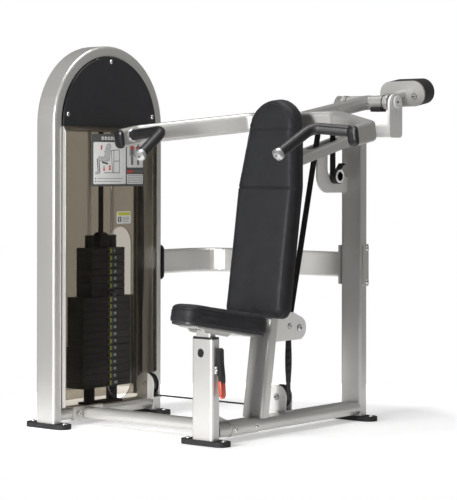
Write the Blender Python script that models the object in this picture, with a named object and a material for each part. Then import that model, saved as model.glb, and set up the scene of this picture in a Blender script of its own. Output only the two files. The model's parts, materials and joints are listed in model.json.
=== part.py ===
"""Selectorized shoulder press machine: frame, weight stack, press arm, seat and belts.

Units are metres, +Z up. The user sits facing -Y with the weight tower at -X.
Places are worked out in a seat-centred frame, whose origin is on the floor under the
front face of the seat post. The empty machine_origin then moves everything so that the
world origin is the bottom centre of the whole machine.
"""
import math

import bmesh
import bpy
from mathutils import Matrix, Vector

# ---------------------------------------------------------------- driving dimensions
GAP = 0.0003                       # clearance between neighbouring solids
SEAT_FRAME_SHIFT = (0.1535, -0.6495, 0.0)

TUBE_W = 0.104                     # main frame tube, wide side
TUBE_T = 0.047                     # main frame tube, narrow side
TUBE_R = 0.011                     # its corner radius
FOOT_H = 0.019
FOOT_HALF_LENGTH = 0.112
FOOT_HALF_WIDTH = 0.0385

TOWER_X = -0.801                   # centre plane of the weight tower
TOWER_Y = 0.290                    # centre of the tower, front to back
TOWER_HALF = 0.3285                # outer half width of the tower
ARCH_Z = 1.236                     # centre height of the round arch
PLATE_PITCH = 0.029
PLATE_GAP = 0.0007
PLATE_DEPTH = 0.090
STACK_BOTTOM = 0.144
SMALL_HALF = 0.103
MIDDLE_HALF = 0.157
LARGE_HALF = 0.162
SMALL_COUNT = 6                    # lifted plates under the head plate
MIDDLE_COUNT = 7
LARGE_COUNT = 6
ROD_OFFSET = 0.069
ROD_R = 0.0085
ROD_HOLE_R = 0.0095
STEM_R = 0.011
STEM_HOLE_R = 0.0125
PIN_R = 0.0045
PIN_HOLE_R = 0.0055
CROSSMEMBER_Z = (1.206, 1.232)

PULLEY_R = 0.043                   # belt surface of the frame pulleys
PULLEY_WIDTH = 0.030
BELT_W = 0.027
BELT_T = 0.003
BELT_RUN_Y = 0.540                 # plane of the belt that crosses to the seat
LOW_PULLEY_Z = 0.134
TOP_PULLEY_Z = 1.300

BASE_Z = 0.0495                    # centre height of the floor tubes
BASE_H = 0.050
CROSSBAR_Y = 0.1665
POST_TOP = 0.404
UPRIGHT_Y = 0.9696                 # front face of the rear upright
STRUT_T = 0.043
BACK_TUBE_Y = 0.304                # front face of the back tube at the base tube
BACK_LEAN = 0.1570                 # rearward run of the seat back per metre of height
BACK_TUBE_TOP = 1.130

SEAT_TILT = math.radians(10.4)
SEAT_THICK = 0.073
PAD_THICK = 0.060
PAD_BOTTOM = 0.468
PAD_SEAM = 0.979
PAD_TAPER_TOP = 1.208
PAD_HALF = 0.148
PAD_HALF_TOP = 0.121

PIVOT = Vector((0.0, 1.0845, 1.335))
ARM_TILT = math.radians(10.0)
YOKE_W = 0.045
YOKE_H = 0.077
GRIP_R = 0.0215
ARM_PULLEY = Vector((0.0, -0.3005, -0.0369))   # in the arm's own tilted frame
ARM_PULLEY_R = 0.0430
IDLER = Vector((0.0, 0.580, 0.412))
IDLER_R = 0.038
ANCHOR = Vector((0.0, 0.8685, 1.0233))
ANCHOR_R = 0.027


# ---------------------------------------------------------------- scene and materials
for old in list(bpy.data.objects):
    bpy.data.objects.remove(old, do_unlink=True)

ORIGIN = bpy.data.objects.new("machine_origin", None)
bpy.context.scene.collection.objects.link(ORIGIN)
ORIGIN.location = SEAT_FRAME_SHIFT

FINISHES = {
    "silver_paint": ((0.72, 0.71, 0.69), 0.35, 0.30),
    "black_plastic": ((0.02, 0.02, 0.022), 0.45, 0.0),
    "tinted_panel": ((0.24, 0.21, 0.17), 0.15, 0.0),
    "dark_panel": ((0.030, 0.031, 0.034), 0.40, 0.0),
    "black_steel": ((0.016, 0.016, 0.017), 0.45, 0.2),
    "chrome": ((0.80, 0.80, 0.80), 0.10, 1.0),
    "upholstery": ((0.034, 0.035, 0.038), 0.55, 0.0),
    "rubber": ((0.022, 0.022, 0.023), 0.75, 0.0),
    "belt": ((0.010, 0.010, 0.010), 0.60, 0.0),
    "red_plastic": ((0.52, 0.07, 0.04), 0.40, 0.0),
}


def material(finish):
    """Return the Principled material of a finish, made on first use."""
    found = bpy.data.materials.get(finish)
    if found:
        return found
    colour, roughness, metallic = FINISHES[finish]
    made = bpy.data.materials.new(finish)
    made.use_nodes = True
    shader = made.node_tree.nodes["Principled BSDF"]
    shader.inputs["Base Color"].default_value = (*colour, 1.0)
    shader.inputs["Roughness"].default_value = roughness
    shader.inputs["Metallic"].default_value = metallic
    return made


def finish_object(name, bm, finish, origin=(0.0, 0.0, 0.0)):
    """Turn a bmesh given in seat-frame coordinates into a named object with its origin."""
    bmesh.ops.recalc_face_normals(bm, faces=bm.faces)
    bmesh.ops.translate(bm, verts=bm.verts, vec=-Vector(origin))
    mesh = bpy.data.meshes.new(name)
    bm.to_mesh(mesh)
    bm.free()
    mesh.materials.append(material(finish))
    mesh.shade_smooth()
    mesh.set_sharp_from_angle(angle=math.radians(35))
    obj = bpy.data.objects.new(name, mesh)
    bpy.context.scene.collection.objects.link(obj)
    obj.parent = ORIGIN
    obj.location = origin
    return obj


def boolean(target, tool, operation):
    """Apply one exact Boolean to target and delete the tool."""
    bpy.context.view_layer.update()
    modifier = target.modifiers.new(operation.lower(), "BOOLEAN")
    modifier.operation = operation
    modifier.solver = "EXACT"
    modifier.object = tool
    graph = bpy.context.evaluated_depsgraph_get()
    result = bpy.data.meshes.new_from_object(target.evaluated_get(graph))
    target.modifiers.clear()
    old = target.data
    target.data = result
    bpy.data.meshes.remove(old)
    bpy.data.objects.remove(tool, do_unlink=True)
    target.data.set_sharp_from_angle(angle=math.radians(35))
    return target


def weld(target, *parts):
    for part in parts:
        boolean(target, part, "UNION")
    return target


def cut(target, *tools):
    for tool in tools:
        boolean(target, tool, "DIFFERENCE")
    return target


# ---------------------------------------------------------------- outlines
def arc(centre, radius, start, end, steps):
    """Points on an arc, angles in degrees, both ends included."""
    points = []
    for i in range(steps + 1):
        a = math.radians(start + (end - start) * i / steps)
        points.append((centre[0] + radius * math.cos(a), centre[1] + radius * math.sin(a)))
    return points


def rounded_rect(width, height, radius, steps=4):
    """Counter-clockwise rounded rectangle centred on the origin."""
    x = width / 2 - radius
    y = height / 2 - radius
    points = []
    for cx, cy, start in ((x, y, 0), (-x, y, 90), (-x, -y, 180), (x, -y, 270)):
        points += arc((cx, cy), radius, start, start + 90, steps)
    return points


def circle(radius, steps=24):
    return arc((0.0, 0.0), radius, 0, 360 * (steps - 1) / steps, steps - 1)


# ---------------------------------------------------------------- solids
def loft(name, rings, finish, origin=(0.0, 0.0, 0.0), closed=False):
    """Join equal rings of points into one solid, capped at both ends unless closed."""
    bm = bmesh.new()
    made = [[bm.verts.new(p) for p in ring] for ring in rings]
    count = len(made[0])
    spans = len(made) if closed else len(made) - 1
    for i in range(spans):
        first = made[i]
        second = made[(i + 1) % len(made)]
        for j in range(count):
            k = (j + 1) % count
            bm.faces.new((first[j], first[k], second[k], second[j]))
    if not closed:
        bm.faces.new(list(reversed(made[0])))
        bm.faces.new(made[-1])
    return finish_object(name, bm, finish, origin)


def prism(name, outline, place, length, finish, origin=(0.0, 0.0, 0.0)):
    """Extrude an outline from the place matrix's XY plane along its +Z."""
    rings = [[place @ Vector((x, y, z)) for x, y in outline] for z in (0.0, length)]
    return loft(name, rings, finish, origin)


def frame_axes(origin, x_axis, y_axis):
    """Matrix with the given origin and axes; the third axis is their cross product."""
    x_axis = Vector(x_axis).normalized()
    y_axis = Vector(y_axis).normalized()
    z_axis = x_axis.cross(y_axis)
    matrix = Matrix((x_axis, y_axis, z_axis)).transposed().to_4x4()
    return Matrix.Translation(origin) @ matrix


def flat(z):
    """Outline in the floor plane, extruded upwards."""
    return frame_axes((0, 0, z), (1, 0, 0), (0, 1, 0))


def facing_x(x):
    """Outline (Y, Z), extruded towards +X."""
    return frame_axes((x, 0, 0), (0, 1, 0), (0, 0, 1))


def facing_y(y):
    """Outline (Z, X), extruded towards +Y."""
    return frame_axes((0, y, 0), (0, 0, 1), (1, 0, 0))


def box(name, low, high, finish="silver_paint"):
    outline = [(low[0], low[1]), (high[0], low[1]), (high[0], high[1]), (low[0], high[1])]
    return prism(name, outline, flat(low[2]), high[2] - low[2], finish)


def rod(name, start, end, radius, finish, steps=24):
    """Round bar between two points."""
    start = Vector(start)
    end = Vector(end)
    axis = (end - start).normalized()
    side = axis.orthogonal().normalized()
    place = frame_axes(start, side, axis.cross(side))
    return prism(name, circle(radius, steps), place, (end - start).length, finish)


def turned(name, profile, centre, axis, finish, steps=40):
    """Solid turned about an axis; profile is (along, radius), first and last on the axis."""
    axis = Vector(axis).normalized()
    side = axis.orthogonal().normalized()
    up = axis.cross(side)
    centre = Vector(centre)
    bm = bmesh.new()
    first = bm.verts.new(centre + axis * profile[0][0])
    last = bm.verts.new(centre + axis * profile[-1][0])
    rings = []
    for along, radius in profile[1:-1]:
        ring = []
        for i in range(steps):
            a = 2 * math.pi * i / steps
            point = centre + axis * along + (side * math.cos(a) + up * math.sin(a)) * radius
            ring.append(bm.verts.new(point))
        rings.append(ring)
    for j in range(steps):
        k = (j + 1) % steps
        bm.faces.new((first, rings[0][k], rings[0][j]))
        bm.faces.new((last, rings[-1][j], rings[-1][k]))
        for a, b in zip(rings, rings[1:]):
            bm.faces.new((a[j], a[k], b[k], b[j]))
    return finish_object(name, bm, finish, tuple(centre))


def rounded_path(corners, radii, steps=6):
    """Replace each inner corner of a polyline by an arc of its own radius."""
    points = [Vector(corners[0])]
    for i in range(1, len(corners) - 1):
        here = Vector(corners[i])
        back = (Vector(corners[i - 1]) - here).normalized()
        ahead = (Vector(corners[i + 1]) - here).normalized()
        half = back.angle(ahead) / 2
        reach = radii[i - 1] / math.tan(half)
        bisector = (back + ahead).normalized()
        centre = here + bisector * (radii[i - 1] / math.sin(half))
        begin = here + back * reach - centre
        end = here + ahead * reach - centre
        turn = begin.angle(end)
        for s in range(steps + 1):
            w = s / steps
            mixed = begin * math.sin((1 - w) * turn) + end * math.sin(w * turn)
            points.append(centre + mixed / math.sin(turn))
    points.append(Vector(corners[-1]))
    return points


def sweep(name, outline, path, up, finish, origin=(0.0, 0.0, 0.0)):
    """Carry an outline along a path; its local y stays along up, its x across the path."""
    up = Vector(up).normalized()
    rings = []
    for i, point in enumerate(path):
        before = (path[i] - path[i - 1]).normalized() if i else None
        after = (path[i + 1] - path[i]).normalized() if i + 1 < len(path) else None
        if before is None:
            before = after
        if after is None:
            after = before
        tangent = (before + after).normalized()
        stretch = 1 / max(0.2, tangent.dot(after))
        across = tangent.cross(up).normalized()
        lift = across.cross(tangent).normalized()
        rings.append([point + across * (x * stretch) + lift * y for x, y in outline])
    return loft(name, rings, finish, origin)


TUBE = rounded_rect(TUBE_W, TUBE_T, TUBE_R)
TUBE_ON_EDGE = rounded_rect(TUBE_T, TUBE_W, TUBE_R)


def place_outline(outline, dx, dy):
    return [(x + dx, y + dy) for x, y in outline]


# ---------------------------------------------------------------- weight tower
def foot(name, x, y):
    """Rubber foot: a flat obround pad on the floor."""
    outline = rounded_rect(2 * FOOT_HALF_LENGTH, 2 * FOOT_HALF_WIDTH, FOOT_HALF_WIDTH, 8)
    prism(name, place_outline(outline, x, y), flat(0.0), FOOT_H, "rubber")


def tower_frame():
    """Inverted U of wide tube: two legs and a half-round arch."""
    middle = TOWER_HALF - TUBE_T / 2
    foot_top = FOOT_H + GAP
    path = [Vector((TOWER_X, TOWER_Y - middle, foot_top))]
    for y, z in arc((TOWER_Y, ARCH_Z), middle, 180, 0, 28):
        path.append(Vector((TOWER_X, y, z)))
    path.append(Vector((TOWER_X, TOWER_Y + middle, foot_top)))
    rings = []
    for i, point in enumerate(path):
        angle = math.pi
        if 0 < i < len(path) - 1:
            angle = math.radians(180 - 180 * (i - 1) / 28)
        elif i:
            angle = 0.0
        outward = Vector((0, math.cos(angle), math.sin(angle)))
        rings.append([point + Vector((x, 0, 0)) + outward * y for x, y in TUBE])
    loft("tower_frame", rings, "silver_paint")


def tower_floor_parts():
    inner = TOWER_HALF - TUBE_T
    outline = rounded_rect(BASE_H, 0.085, 0.022)
    place = facing_y(TOWER_Y - inner + GAP)
    tube = prism("tower_base_tube", place_outline(outline, BASE_Z, TOWER_X), place,
                 2 * inner - 2 * GAP, "silver_paint")
    # the saddle that the crossbar is bolted to
    face = TOWER_X + 0.0425
    saddle = box("saddle", (face - 0.012, CROSSBAR_Y - 0.085, 0.022),
                 (face + 0.008, CROSSBAR_Y + 0.085, 0.078))
    weld(tube, saddle)
    foot("tower_front_foot", TOWER_X, TOWER_Y - TOWER_HALF + TUBE_T / 2)
    foot("tower_rear_foot", TOWER_X, TOWER_Y + TOWER_HALF - TUBE_T / 2)


def shroud_profile(side, z_low, z_high, name):
    """Bowed cover sheet with a return flange at each edge, standing off one side."""
    sheet = 0.004
    edge = TOWER_HALF - TUBE_T - 0.004
    flange_root = TUBE_W / 2 - 0.004
    flange_tip = TUBE_W / 2 + 0.0145
    bow = 0.046
    steps = 14

    def station(inset):
        points = [(flange_root, -edge + inset)]
        for i in range(steps + 1):
            t = -1 + 2 * i / steps
            points.append((flange_tip - inset + bow * (1 - t * t), (edge - inset) * t))
        points.append((flange_root, edge - inset))
        return points

    outline = station(0.0) + list(reversed(station(sheet)))
    placed = [(TOWER_X + side * x, TOWER_Y + y) for x, y in outline]
    return prism(name, placed, flat(z_low), z_high - z_low, "tinted_panel")


def shrouds():
    top = ARCH_Z - 0.0095
    outer = shroud_profile(1, 0.083, top, "outer_shroud")
    slot_half = 0.071
    slot_low = 0.100 + slot_half
    slot_high = 0.8127 - slot_half
    slot = arc((TOWER_Y, slot_high), slot_half, 0, 180, 12)
    slot += arc((TOWER_Y, slot_low), slot_half, 180, 360, 12)
    cutter = prism("slot", slot, facing_x(TOWER_X + 0.060), 0.080, "tinted_panel")
    notch = box("notch", (TOWER_X + 0.030, 0.484, 0.0), (TOWER_X + 0.20, 0.70, 0.187))
    cut(outer, cutter, notch)
    shroud_profile(-1, 0.083, top, "inner_shroud")


def dome_cover(name, x_low, thickness):
    """Half-round black cover that closes the arch above the shroud."""
    radius = TOWER_HALF - TUBE_T - 0.002
    bottom = ARCH_Z - 0.0090
    outline = arc((TOWER_Y, ARCH_Z), radius, 0, 180, 28)
    outline += [(TOWER_Y - radius, bottom), (TOWER_Y + radius, bottom)]
    prism(name, outline, facing_x(x_low), thickness, "dark_panel")


def crossmember():
    """Cross tube under the arch with a channel that carries the two top pulleys."""
    inner = TOWER_HALF - TUBE_T - GAP
    low, high = CROSSMEMBER_Z
    bar = box("tower_crossmember", (TOWER_X - 0.034, TOWER_Y - inner, low),
              (TOWER_X + 0.034, TOWER_Y + inner, high))
    wall = 0.004
    half = PULLEY_WIDTH / 2 + 0.002 + wall
    for side in (-1, 1):
        x = TOWER_X + side * (half - wall / 2)
        outline = [(TOWER_Y - 0.010, high - 0.002), (0.560, high - 0.002), (0.560, 1.290),
                   (0.520, 1.335), (TOWER_Y + 0.010, 1.335), (TOWER_Y - 0.010, 1.31)]
        weld(bar, prism("cheek", outline, facing_x(x - wall / 2), wall, "silver_paint"))
    for y in (TOWER_Y, BELT_RUN_Y):
        cut(bar, box("belt_hole", (TOWER_X - 0.0165, y - 0.014, low - 0.01),
                     (TOWER_X + 0.0165, y + 0.014, high + 0.01)))
    return bar


def pulley(name, centre, axis, radius, finish="black_plastic", axle=0.0015):
    """Grooved belt pulley: belt surface between two low flanges, with short axle stubs."""
    half = PULLEY_WIDTH / 2
    lip = radius + 0.0045
    profile = [
        (-half - axle, 0.0), (-half - axle, 0.009), (-half, 0.009), (-half, lip),
        (-half + 0.0012, lip), (-half + 0.0012, radius), (half - 0.0012, radius),
        (half - 0.0012, lip), (half, lip), (half, 0.009), (half + axle, 0.009), (half + axle, 0.0)]
    return turned(name, profile, centre, axis, finish)


def top_pulleys():
    reach = PULLEY_R + BELT_T / 2 + GAP
    pulley("front_top_pulley", (TOWER_X, TOWER_Y + reach, TOP_PULLEY_Z), (1, 0, 0), PULLEY_R)
    pulley("rear_top_pulley", (TOWER_X, BELT_RUN_Y - reach, TOP_PULLEY_Z), (1, 0, 0), PULLEY_R)


def guide_rods():
    low = BASE_Z + BASE_H / 2 + GAP
    high = CROSSMEMBER_Z[0] - GAP
    for name, side in (("front_guide_rod", -1), ("rear_guide_rod", 1)):
        y = TOWER_Y + side * ROD_OFFSET
        rod(name, (TOWER_X, y, low), (TOWER_X, y, high), ROD_R, "chrome", 16)


def stack_bumpers():
    """Two pedestals on one foot strip, which the stack rests on around the rods."""
    low = BASE_Z + BASE_H / 2 + GAP
    top = STACK_BOTTOM - GAP
    strip = box("stack_bumpers", (TOWER_X - 0.024, TOWER_Y - 0.110, low),
                (TOWER_X + 0.024, TOWER_Y + 0.110, low + 0.008), "rubber")
    for side in (-1, 1):
        y = TOWER_Y + side * ROD_OFFSET
        weld(strip, rod("post", (TOWER_X, y, low + 0.004), (TOWER_X, y, top), 0.023, "rubber", 20))
        cut(strip, rod("bore", (TOWER_X, y, low - 0.01), (TOWER_X, y, top + 0.01),
                       ROD_HOLE_R, "rubber", 12))


# ---------------------------------------------------------------- weight stack
def plate_solid(name, low, count, half, finish="black_steel"):
    """A rounded plate, or a block of plates with a groove at every joint."""
    outline = rounded_rect(PLATE_DEPTH, 2 * half, 0.006, 2)
    rings = []
    for i in range(count):
        z = low + i * PLATE_PITCH
        top = z + PLATE_PITCH - PLATE_GAP
        shapes = [(z, 0.0015), (z + 0.0015, 0.0), (top - 0.0015, 0.0), (top, 0.0015)]
        for height, inset in shapes:
            fx = 1 - 2 * inset / PLATE_DEPTH
            fy = 1 - inset / half
            rings.append([Vector((TOWER_X + x * fx, TOWER_Y + y * fy, height)) for x, y in outline])
    block = loft(name, rings, finish)
    high = low + count * PLATE_PITCH
    for y, radius in ((-ROD_OFFSET, ROD_HOLE_R), (0.0, STEM_HOLE_R), (ROD_OFFSET, ROD_HOLE_R)):
        centre = (TOWER_X, TOWER_Y + y)
        cut(block, rod("bore", (*centre, low - 0.01), (*centre, high + 0.01), radius, finish, 12))
    for i in range(count):
        z = low + (i + 0.5) * PLATE_PITCH - PLATE_GAP / 2
        cut(block, rod("pin_hole", (TOWER_X + STEM_HOLE_R - 0.004, TOWER_Y, z),
                       (TOWER_X + PLATE_DEPTH, TOWER_Y, z), PIN_HOLE_R, finish, 8))
    return block


def plate_height(index):
    """Bottom of plate number index, counted from the lowest one."""
    return STACK_BOTTOM + index * PLATE_PITCH


STACK_COUNT = 1 + SMALL_COUNT + MIDDLE_COUNT + LARGE_COUNT
PIN_PLATE = LARGE_COUNT + MIDDLE_COUNT
HEAD_LOW = plate_height(STACK_COUNT - 1)
HEAD_TOP = HEAD_LOW + PLATE_PITCH - PLATE_GAP


def weight_plates():
    plate_solid("weight_plates_lower", plate_height(0), LARGE_COUNT, LARGE_HALF)
    plate_solid("weight_plates_middle", plate_height(LARGE_COUNT), MIDDLE_COUNT, MIDDLE_HALF)
    for i in range(SMALL_COUNT):
        plate_solid(f"weight_plate_{i + 1:02d}", plate_height(PIN_PLATE + i), 1, SMALL_HALF)


def head_plate():
    """Top plate with two rod bushes and the fork that holds the belt end."""
    plate = plate_solid("head_plate", HEAD_LOW, 1, SMALL_HALF)
    for side in (-1, 1):
        y = TOWER_Y + side * ROD_OFFSET
        bush = rod("bush", (TOWER_X, y, HEAD_TOP - 0.004), (TOWER_X, y, HEAD_TOP + 0.052),
                   0.019, "black_steel", 16)
        weld(plate, bush)
        cut(plate, rod("bore", (TOWER_X, y, HEAD_LOW - 0.01), (TOWER_X, y, HEAD_TOP + 0.07),
                       ROD_HOLE_R, "black_steel", 12))
    for side in (-1, 1):
        x = TOWER_X + side * 0.020
        outline = arc((TOWER_Y, HEAD_TOP + 0.042), 0.022, 0, 180, 8)
        outline += [(TOWER_Y - 0.022, HEAD_TOP - 0.004), (TOWER_Y + 0.022, HEAD_TOP - 0.004)]
        weld(plate, prism("fork", outline, facing_x(x - 0.003), 0.006, "black_steel"))
    bridge = rod("bridge", (TOWER_X - 0.020, TOWER_Y, HEAD_TOP + 0.042),
                 (TOWER_X + 0.020, TOWER_Y, HEAD_TOP + 0.042), 0.009, "black_steel", 12)
    return weld(plate, bridge)


def selector():
    stem = rod("selector_stem", (TOWER_X, TOWER_Y, plate_height(0) + 0.004),
               (TOWER_X, TOWER_Y, HEAD_LOW - GAP), STEM_R, "chrome", 16)
    for i in range(STACK_COUNT - 1):
        z = plate_height(i) + (PLATE_PITCH - PLATE_GAP) / 2
        cut(stem, rod("hole", (TOWER_X - 0.02, TOWER_Y, z), (TOWER_X + 0.02, TOWER_Y, z),
                      PIN_HOLE_R - 0.0005, "chrome", 8))
    z = plate_height(PIN_PLATE) + (PLATE_PITCH - PLATE_GAP) / 2
    face = PLATE_DEPTH / 2
    profile = [(-0.008, 0.0), (-0.007, PIN_R), (face + 0.001, PIN_R), (face + 0.001, 0.010),
               (face + 0.012, 0.011), (face + 0.022, 0.015), (face + 0.034, 0.012),
               (face + 0.037, 0.0)]
    turned("selector_pin", profile, (TOWER_X, TOWER_Y, z), (1, 0, 0), "black_plastic", 20)


# ---------------------------------------------------------------- belts
def ribbon(name, path, widths, origin=(0.0, 0.0, 0.0)):
    """Flat belt: widths holds the direction across the belt at each path point."""
    rings = []
    for i, point in enumerate(path):
        before = path[max(i - 1, 0)]
        after = path[min(i + 1, len(path) - 1)]
        tangent = (after - before).normalized()
        across = Vector(widths[i]).normalized()
        out = tangent.cross(across).normalized()
        half = BELT_W / 2
        corners = ((half, BELT_T / 2), (-half, BELT_T / 2), (-half, -BELT_T / 2),
                   (half, -BELT_T / 2))
        rings.append([point + across * a + out * b for a, b in corners])
    return loft(name, rings, "belt", origin)


def yz_arc(centre, radius, start, end, steps):
    return [Vector((centre[0], y, z))
            for y, z in arc((centre[1], centre[2]), radius, start, end, steps)]


def xz_arc(centre, radius, start, end, steps):
    return [Vector((x, centre[1], z))
            for x, z in arc((centre[0], centre[2]), radius, start, end, steps)]


def twist(start, end, from_dir, to_dir, steps):
    """Straight run whose width direction turns a quarter turn in its middle half."""
    path = []
    widths = []
    for i in range(steps + 1):
        t = i / steps
        path.append(start.lerp(end, t))
        turn = min(max((t - 0.25) / 0.5, 0.0), 1.0) * math.pi / 2
        widths.append(Vector(from_dir) * math.cos(turn) + Vector(to_dir) * math.sin(turn))
    return path, widths


def tangent_angle(low, low_r, high, high_r):
    """Angle of the shared tangent on the front side of two belt wheels, from -Y upwards."""
    across = high - low
    distance = math.hypot(across.y, across.z)
    lean = math.atan2(across.y, across.z)
    return lean + math.asin((high_r - low_r) / distance)


def arm_to_seat_frame(point):
    return PIVOT + Matrix.Rotation(ARM_TILT, 3, "X") @ Vector(point)


def belts():
    offset = BELT_T / 2 + GAP
    run = PULLEY_R + offset
    front_top = Vector((TOWER_X, TOWER_Y + run, TOP_PULLEY_Z))
    rear_top = Vector((TOWER_X, BELT_RUN_Y - run, TOP_PULLEY_Z))
    # from the head plate up to the front pulley
    low = Vector((TOWER_X, TOWER_Y, HEAD_TOP + 0.0525))
    high = Vector((TOWER_X, TOWER_Y, TOP_PULLEY_Z - GAP))
    ribbon("stack_belt", [low, high], [(1, 0, 0)] * 2)
    # over both top pulleys, down behind the stack and round the low pulley
    path = yz_arc(front_top, run, 180, 90, 8) + yz_arc(rear_top, run, 90, 0, 8)
    widths = [(1, 0, 0)] * len(path)
    low_centre = Vector((TOWER_X + run, BELT_RUN_Y, LOW_PULLEY_Z))
    down, turned_widths = twist(path[-1], Vector((TOWER_X, BELT_RUN_Y, LOW_PULLEY_Z)),
                                (1, 0, 0), (0, 1, 0), 12)
    path += down[1:]
    widths += turned_widths[1:]
    quarter = xz_arc(low_centre, run, 180, 270, 8)
    ribbon("tower_belt", path + quarter[1:], widths + [(0, 1, 0)] * 8)
    # along the floor to the seat and up to the idler
    seat_centre = Vector((-run, BELT_RUN_Y, LOW_PULLEY_Z))
    start = quarter[-1] + Vector((GAP, 0, 0))
    path = [start] + xz_arc(seat_centre, run, 270, 360, 8)
    widths = [(0, 1, 0)] * len(path)
    idler_side = Vector((0.0, IDLER.y - IDLER_R - offset, IDLER.z))
    up, turned_widths = twist(path[-1], idler_side, (0, 1, 0), (1, 0, 0), 10)
    ribbon("base_belt", path + up[1:], widths + turned_widths[1:])
    # from the idler up to the press arm's pulley, and down again to the anchor
    arm_centre = arm_to_seat_frame(ARM_PULLEY)
    angle = tangent_angle(IDLER, IDLER_R, arm_centre, ARM_PULLEY_R)
    away = Vector((0.0, -math.cos(angle), math.sin(angle)))
    below = IDLER + away * (IDLER_R + offset)
    above = arm_centre + away * (ARM_PULLEY_R + offset)
    along = (above - below).normalized()
    ribbon("arm_belt_front", [below + along * GAP, above], [(1, 0, 0)] * 2)
    y = arm_centre.y + ARM_PULLEY_R + offset
    ribbon("arm_belt_rear", [Vector((0, y, arm_centre.z)), Vector((0, y, ANCHOR.z + 0.004))],
           [(1, 0, 0)] * 2)


# ---------------------------------------------------------------- floor frame and seat
def crossbar():
    outline = rounded_rect(0.070, BASE_H - 0.004, 0.021)
    place = frame_axes((TOWER_X + 0.0507 + GAP, CROSSBAR_Y, BASE_Z), (0, 1, 0), (0, 0, 1))
    prism("crossbar", outline, place, -TOWER_X - 0.0507 - TUBE_W / 2 - 2 * GAP, "silver_paint")


def base_tube():
    """Wide floor tube from the seat post to the rear upright, with its crossbar sleeve."""
    outline = rounded_rect(BASE_H, TUBE_W, 0.022, 6)
    start = TUBE_T + GAP
    place = facing_y(start)
    tube = prism("base_tube", place_outline(outline, BASE_Z, 0.0), place,
                 UPRIGHT_Y - GAP - start, "silver_paint")
    sleeve = rounded_rect(BASE_H + 0.005, TUBE_W + 0.006, 0.024, 6)
    shell = prism("sleeve", place_outline(sleeve, BASE_Z, 0.0), facing_y(0.119),
                  0.170, "silver_paint")
    cut(shell, box("lower_half", (-0.2, 0.0, 0.0), (-0.02, 0.5, 0.2)))
    weld(tube, shell)
    gusset = prism("gusset", [(start, 0.06), (0.150, 0.06), (0.150, 0.080), (start, 0.125)],
                   facing_x(-0.004), 0.008, "silver_paint")
    return weld(tube, gusset)


def seat_post():
    """Outer post with the lever's bracket ears, and a bore for the sliding inner post."""
    place = flat(FOOT_H + GAP)
    centre_y = TUBE_T / 2
    post = prism("seat_post_outer", place_outline(TUBE, 0.0, centre_y), place,
                 POST_TOP - FOOT_H - GAP, "silver_paint")
    bore = prism("bore", place_outline(rounded_rect(0.070, 0.038, 0.004, 2), 0.0, centre_y),
                 flat(0.10), 0.5, "silver_paint")
    cut(post, bore)
    for y in (0.0135, 0.0415):
        weld(post, box("ear", (TUBE_W / 2 - 0.003, y, LEVER_PIVOT.z - 0.014),
                       (TUBE_W / 2 + 0.010, y + 0.004, LEVER_PIVOT.z + 0.014)))
    window = box("window", (0.03, 0.0240, PIN_Z - 0.0065), (0.08, 0.0350, PIN_Z + 0.0100))
    cut(post, window)
    foot("seat_post_foot", 0.0, centre_y)


LEVER_PIVOT = Vector((0.060, 0.0295, 0.288))
PIN_Z = 0.345


def seat_lever():
    """Hand lever on the post's side: black body, red finger tip at the bottom."""
    y_low = 0.0180
    y_high = 0.0410
    x = TUBE_W / 2
    outline = [(0.318, x + 0.0045), (0.366, x + 0.0045), (0.372, x + 0.012), (0.366, x + 0.022),
               (0.312, x + 0.024), (0.268, x + 0.030), (0.192, x + 0.033), (0.186, x + 0.027),
               (0.190, x + 0.018), (0.262, x + 0.013), (0.275, x + 0.0045), (0.300, x + 0.0020)]
    place = facing_y(y_low)
    lever = prism("seat_lever", outline, place, y_high - y_low, "black_plastic",
                  tuple(LEVER_PIVOT))
    cut(lever, rod("bore", (LEVER_PIVOT.x, 0.0, LEVER_PIVOT.z), (LEVER_PIVOT.x, 0.07, LEVER_PIVOT.z),
                   0.0035, "black_plastic", 12))
    start = 0.0345
    profile = [(0.0, 0.0), (0.0, 0.0052), (0.0205, 0.0052), (0.0205, 0.0)]
    turned("seat_pin", profile, (start + 0.0008, TUBE_T / 2 + 0.006, PIN_Z), (1, 0, 0), "chrome", 16)


def tilted_seat(point):
    """Seat-frame place of a point given in the seat plate's own tilted frame."""
    return SEAT_ROOT + Matrix.Rotation(-SEAT_TILT, 3, "X") @ Vector(point)


SEAT_ROOT = Vector((0.0, TUBE_T / 2, 0.4415))


def seat():
    """Inner post with its welded seat plate, and the plain cushion solid on it."""
    centre_y = TUBE_T / 2
    post = prism("seat_post_inner",
                 place_outline(rounded_rect(0.068, 0.036, 0.003, 2), 0.0, centre_y),
                 flat(0.130), 0.3075, "silver_paint")
    corners = [tilted_seat((x, y, -0.006)) for x, y in
               ((-0.045, -0.100), (0.045, -0.100), (0.100, 0.175), (-0.100, 0.175))]
    raised = [tilted_seat((x, y, 0.0)) for x, y in
              ((-0.045, -0.100), (0.045, -0.100), (0.100, 0.175), (-0.100, 0.175))]
    plate = loft("plate", [corners, raised], "silver_paint")
    web = [tilted_seat((0, y, z)) for y, z in
           ((-0.070, -0.004), (0.110, -0.004), (0.085, -0.018), (-0.050, -0.018))]
    webs = []
    for side in (-1, 1):
        rings = [[p + Vector((side * x, 0, 0)) for p in web] for x in (0.034, 0.040)]
        webs.append(loft("web", rings, "silver_paint"))
    weld(post, plate, *webs)
    rings = []
    for z, inset in ((GAP, 0.010), (0.012, 0.0), (SEAT_THICK - 0.022, 0.0),
                     (SEAT_THICK - 0.006, 0.008), (SEAT_THICK, 0.022)):
        rings.append([tilted_seat((x, y, z)) for x, y in seat_outline(inset)])
    loft("seat_pad", rings, "upholstery")


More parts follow.
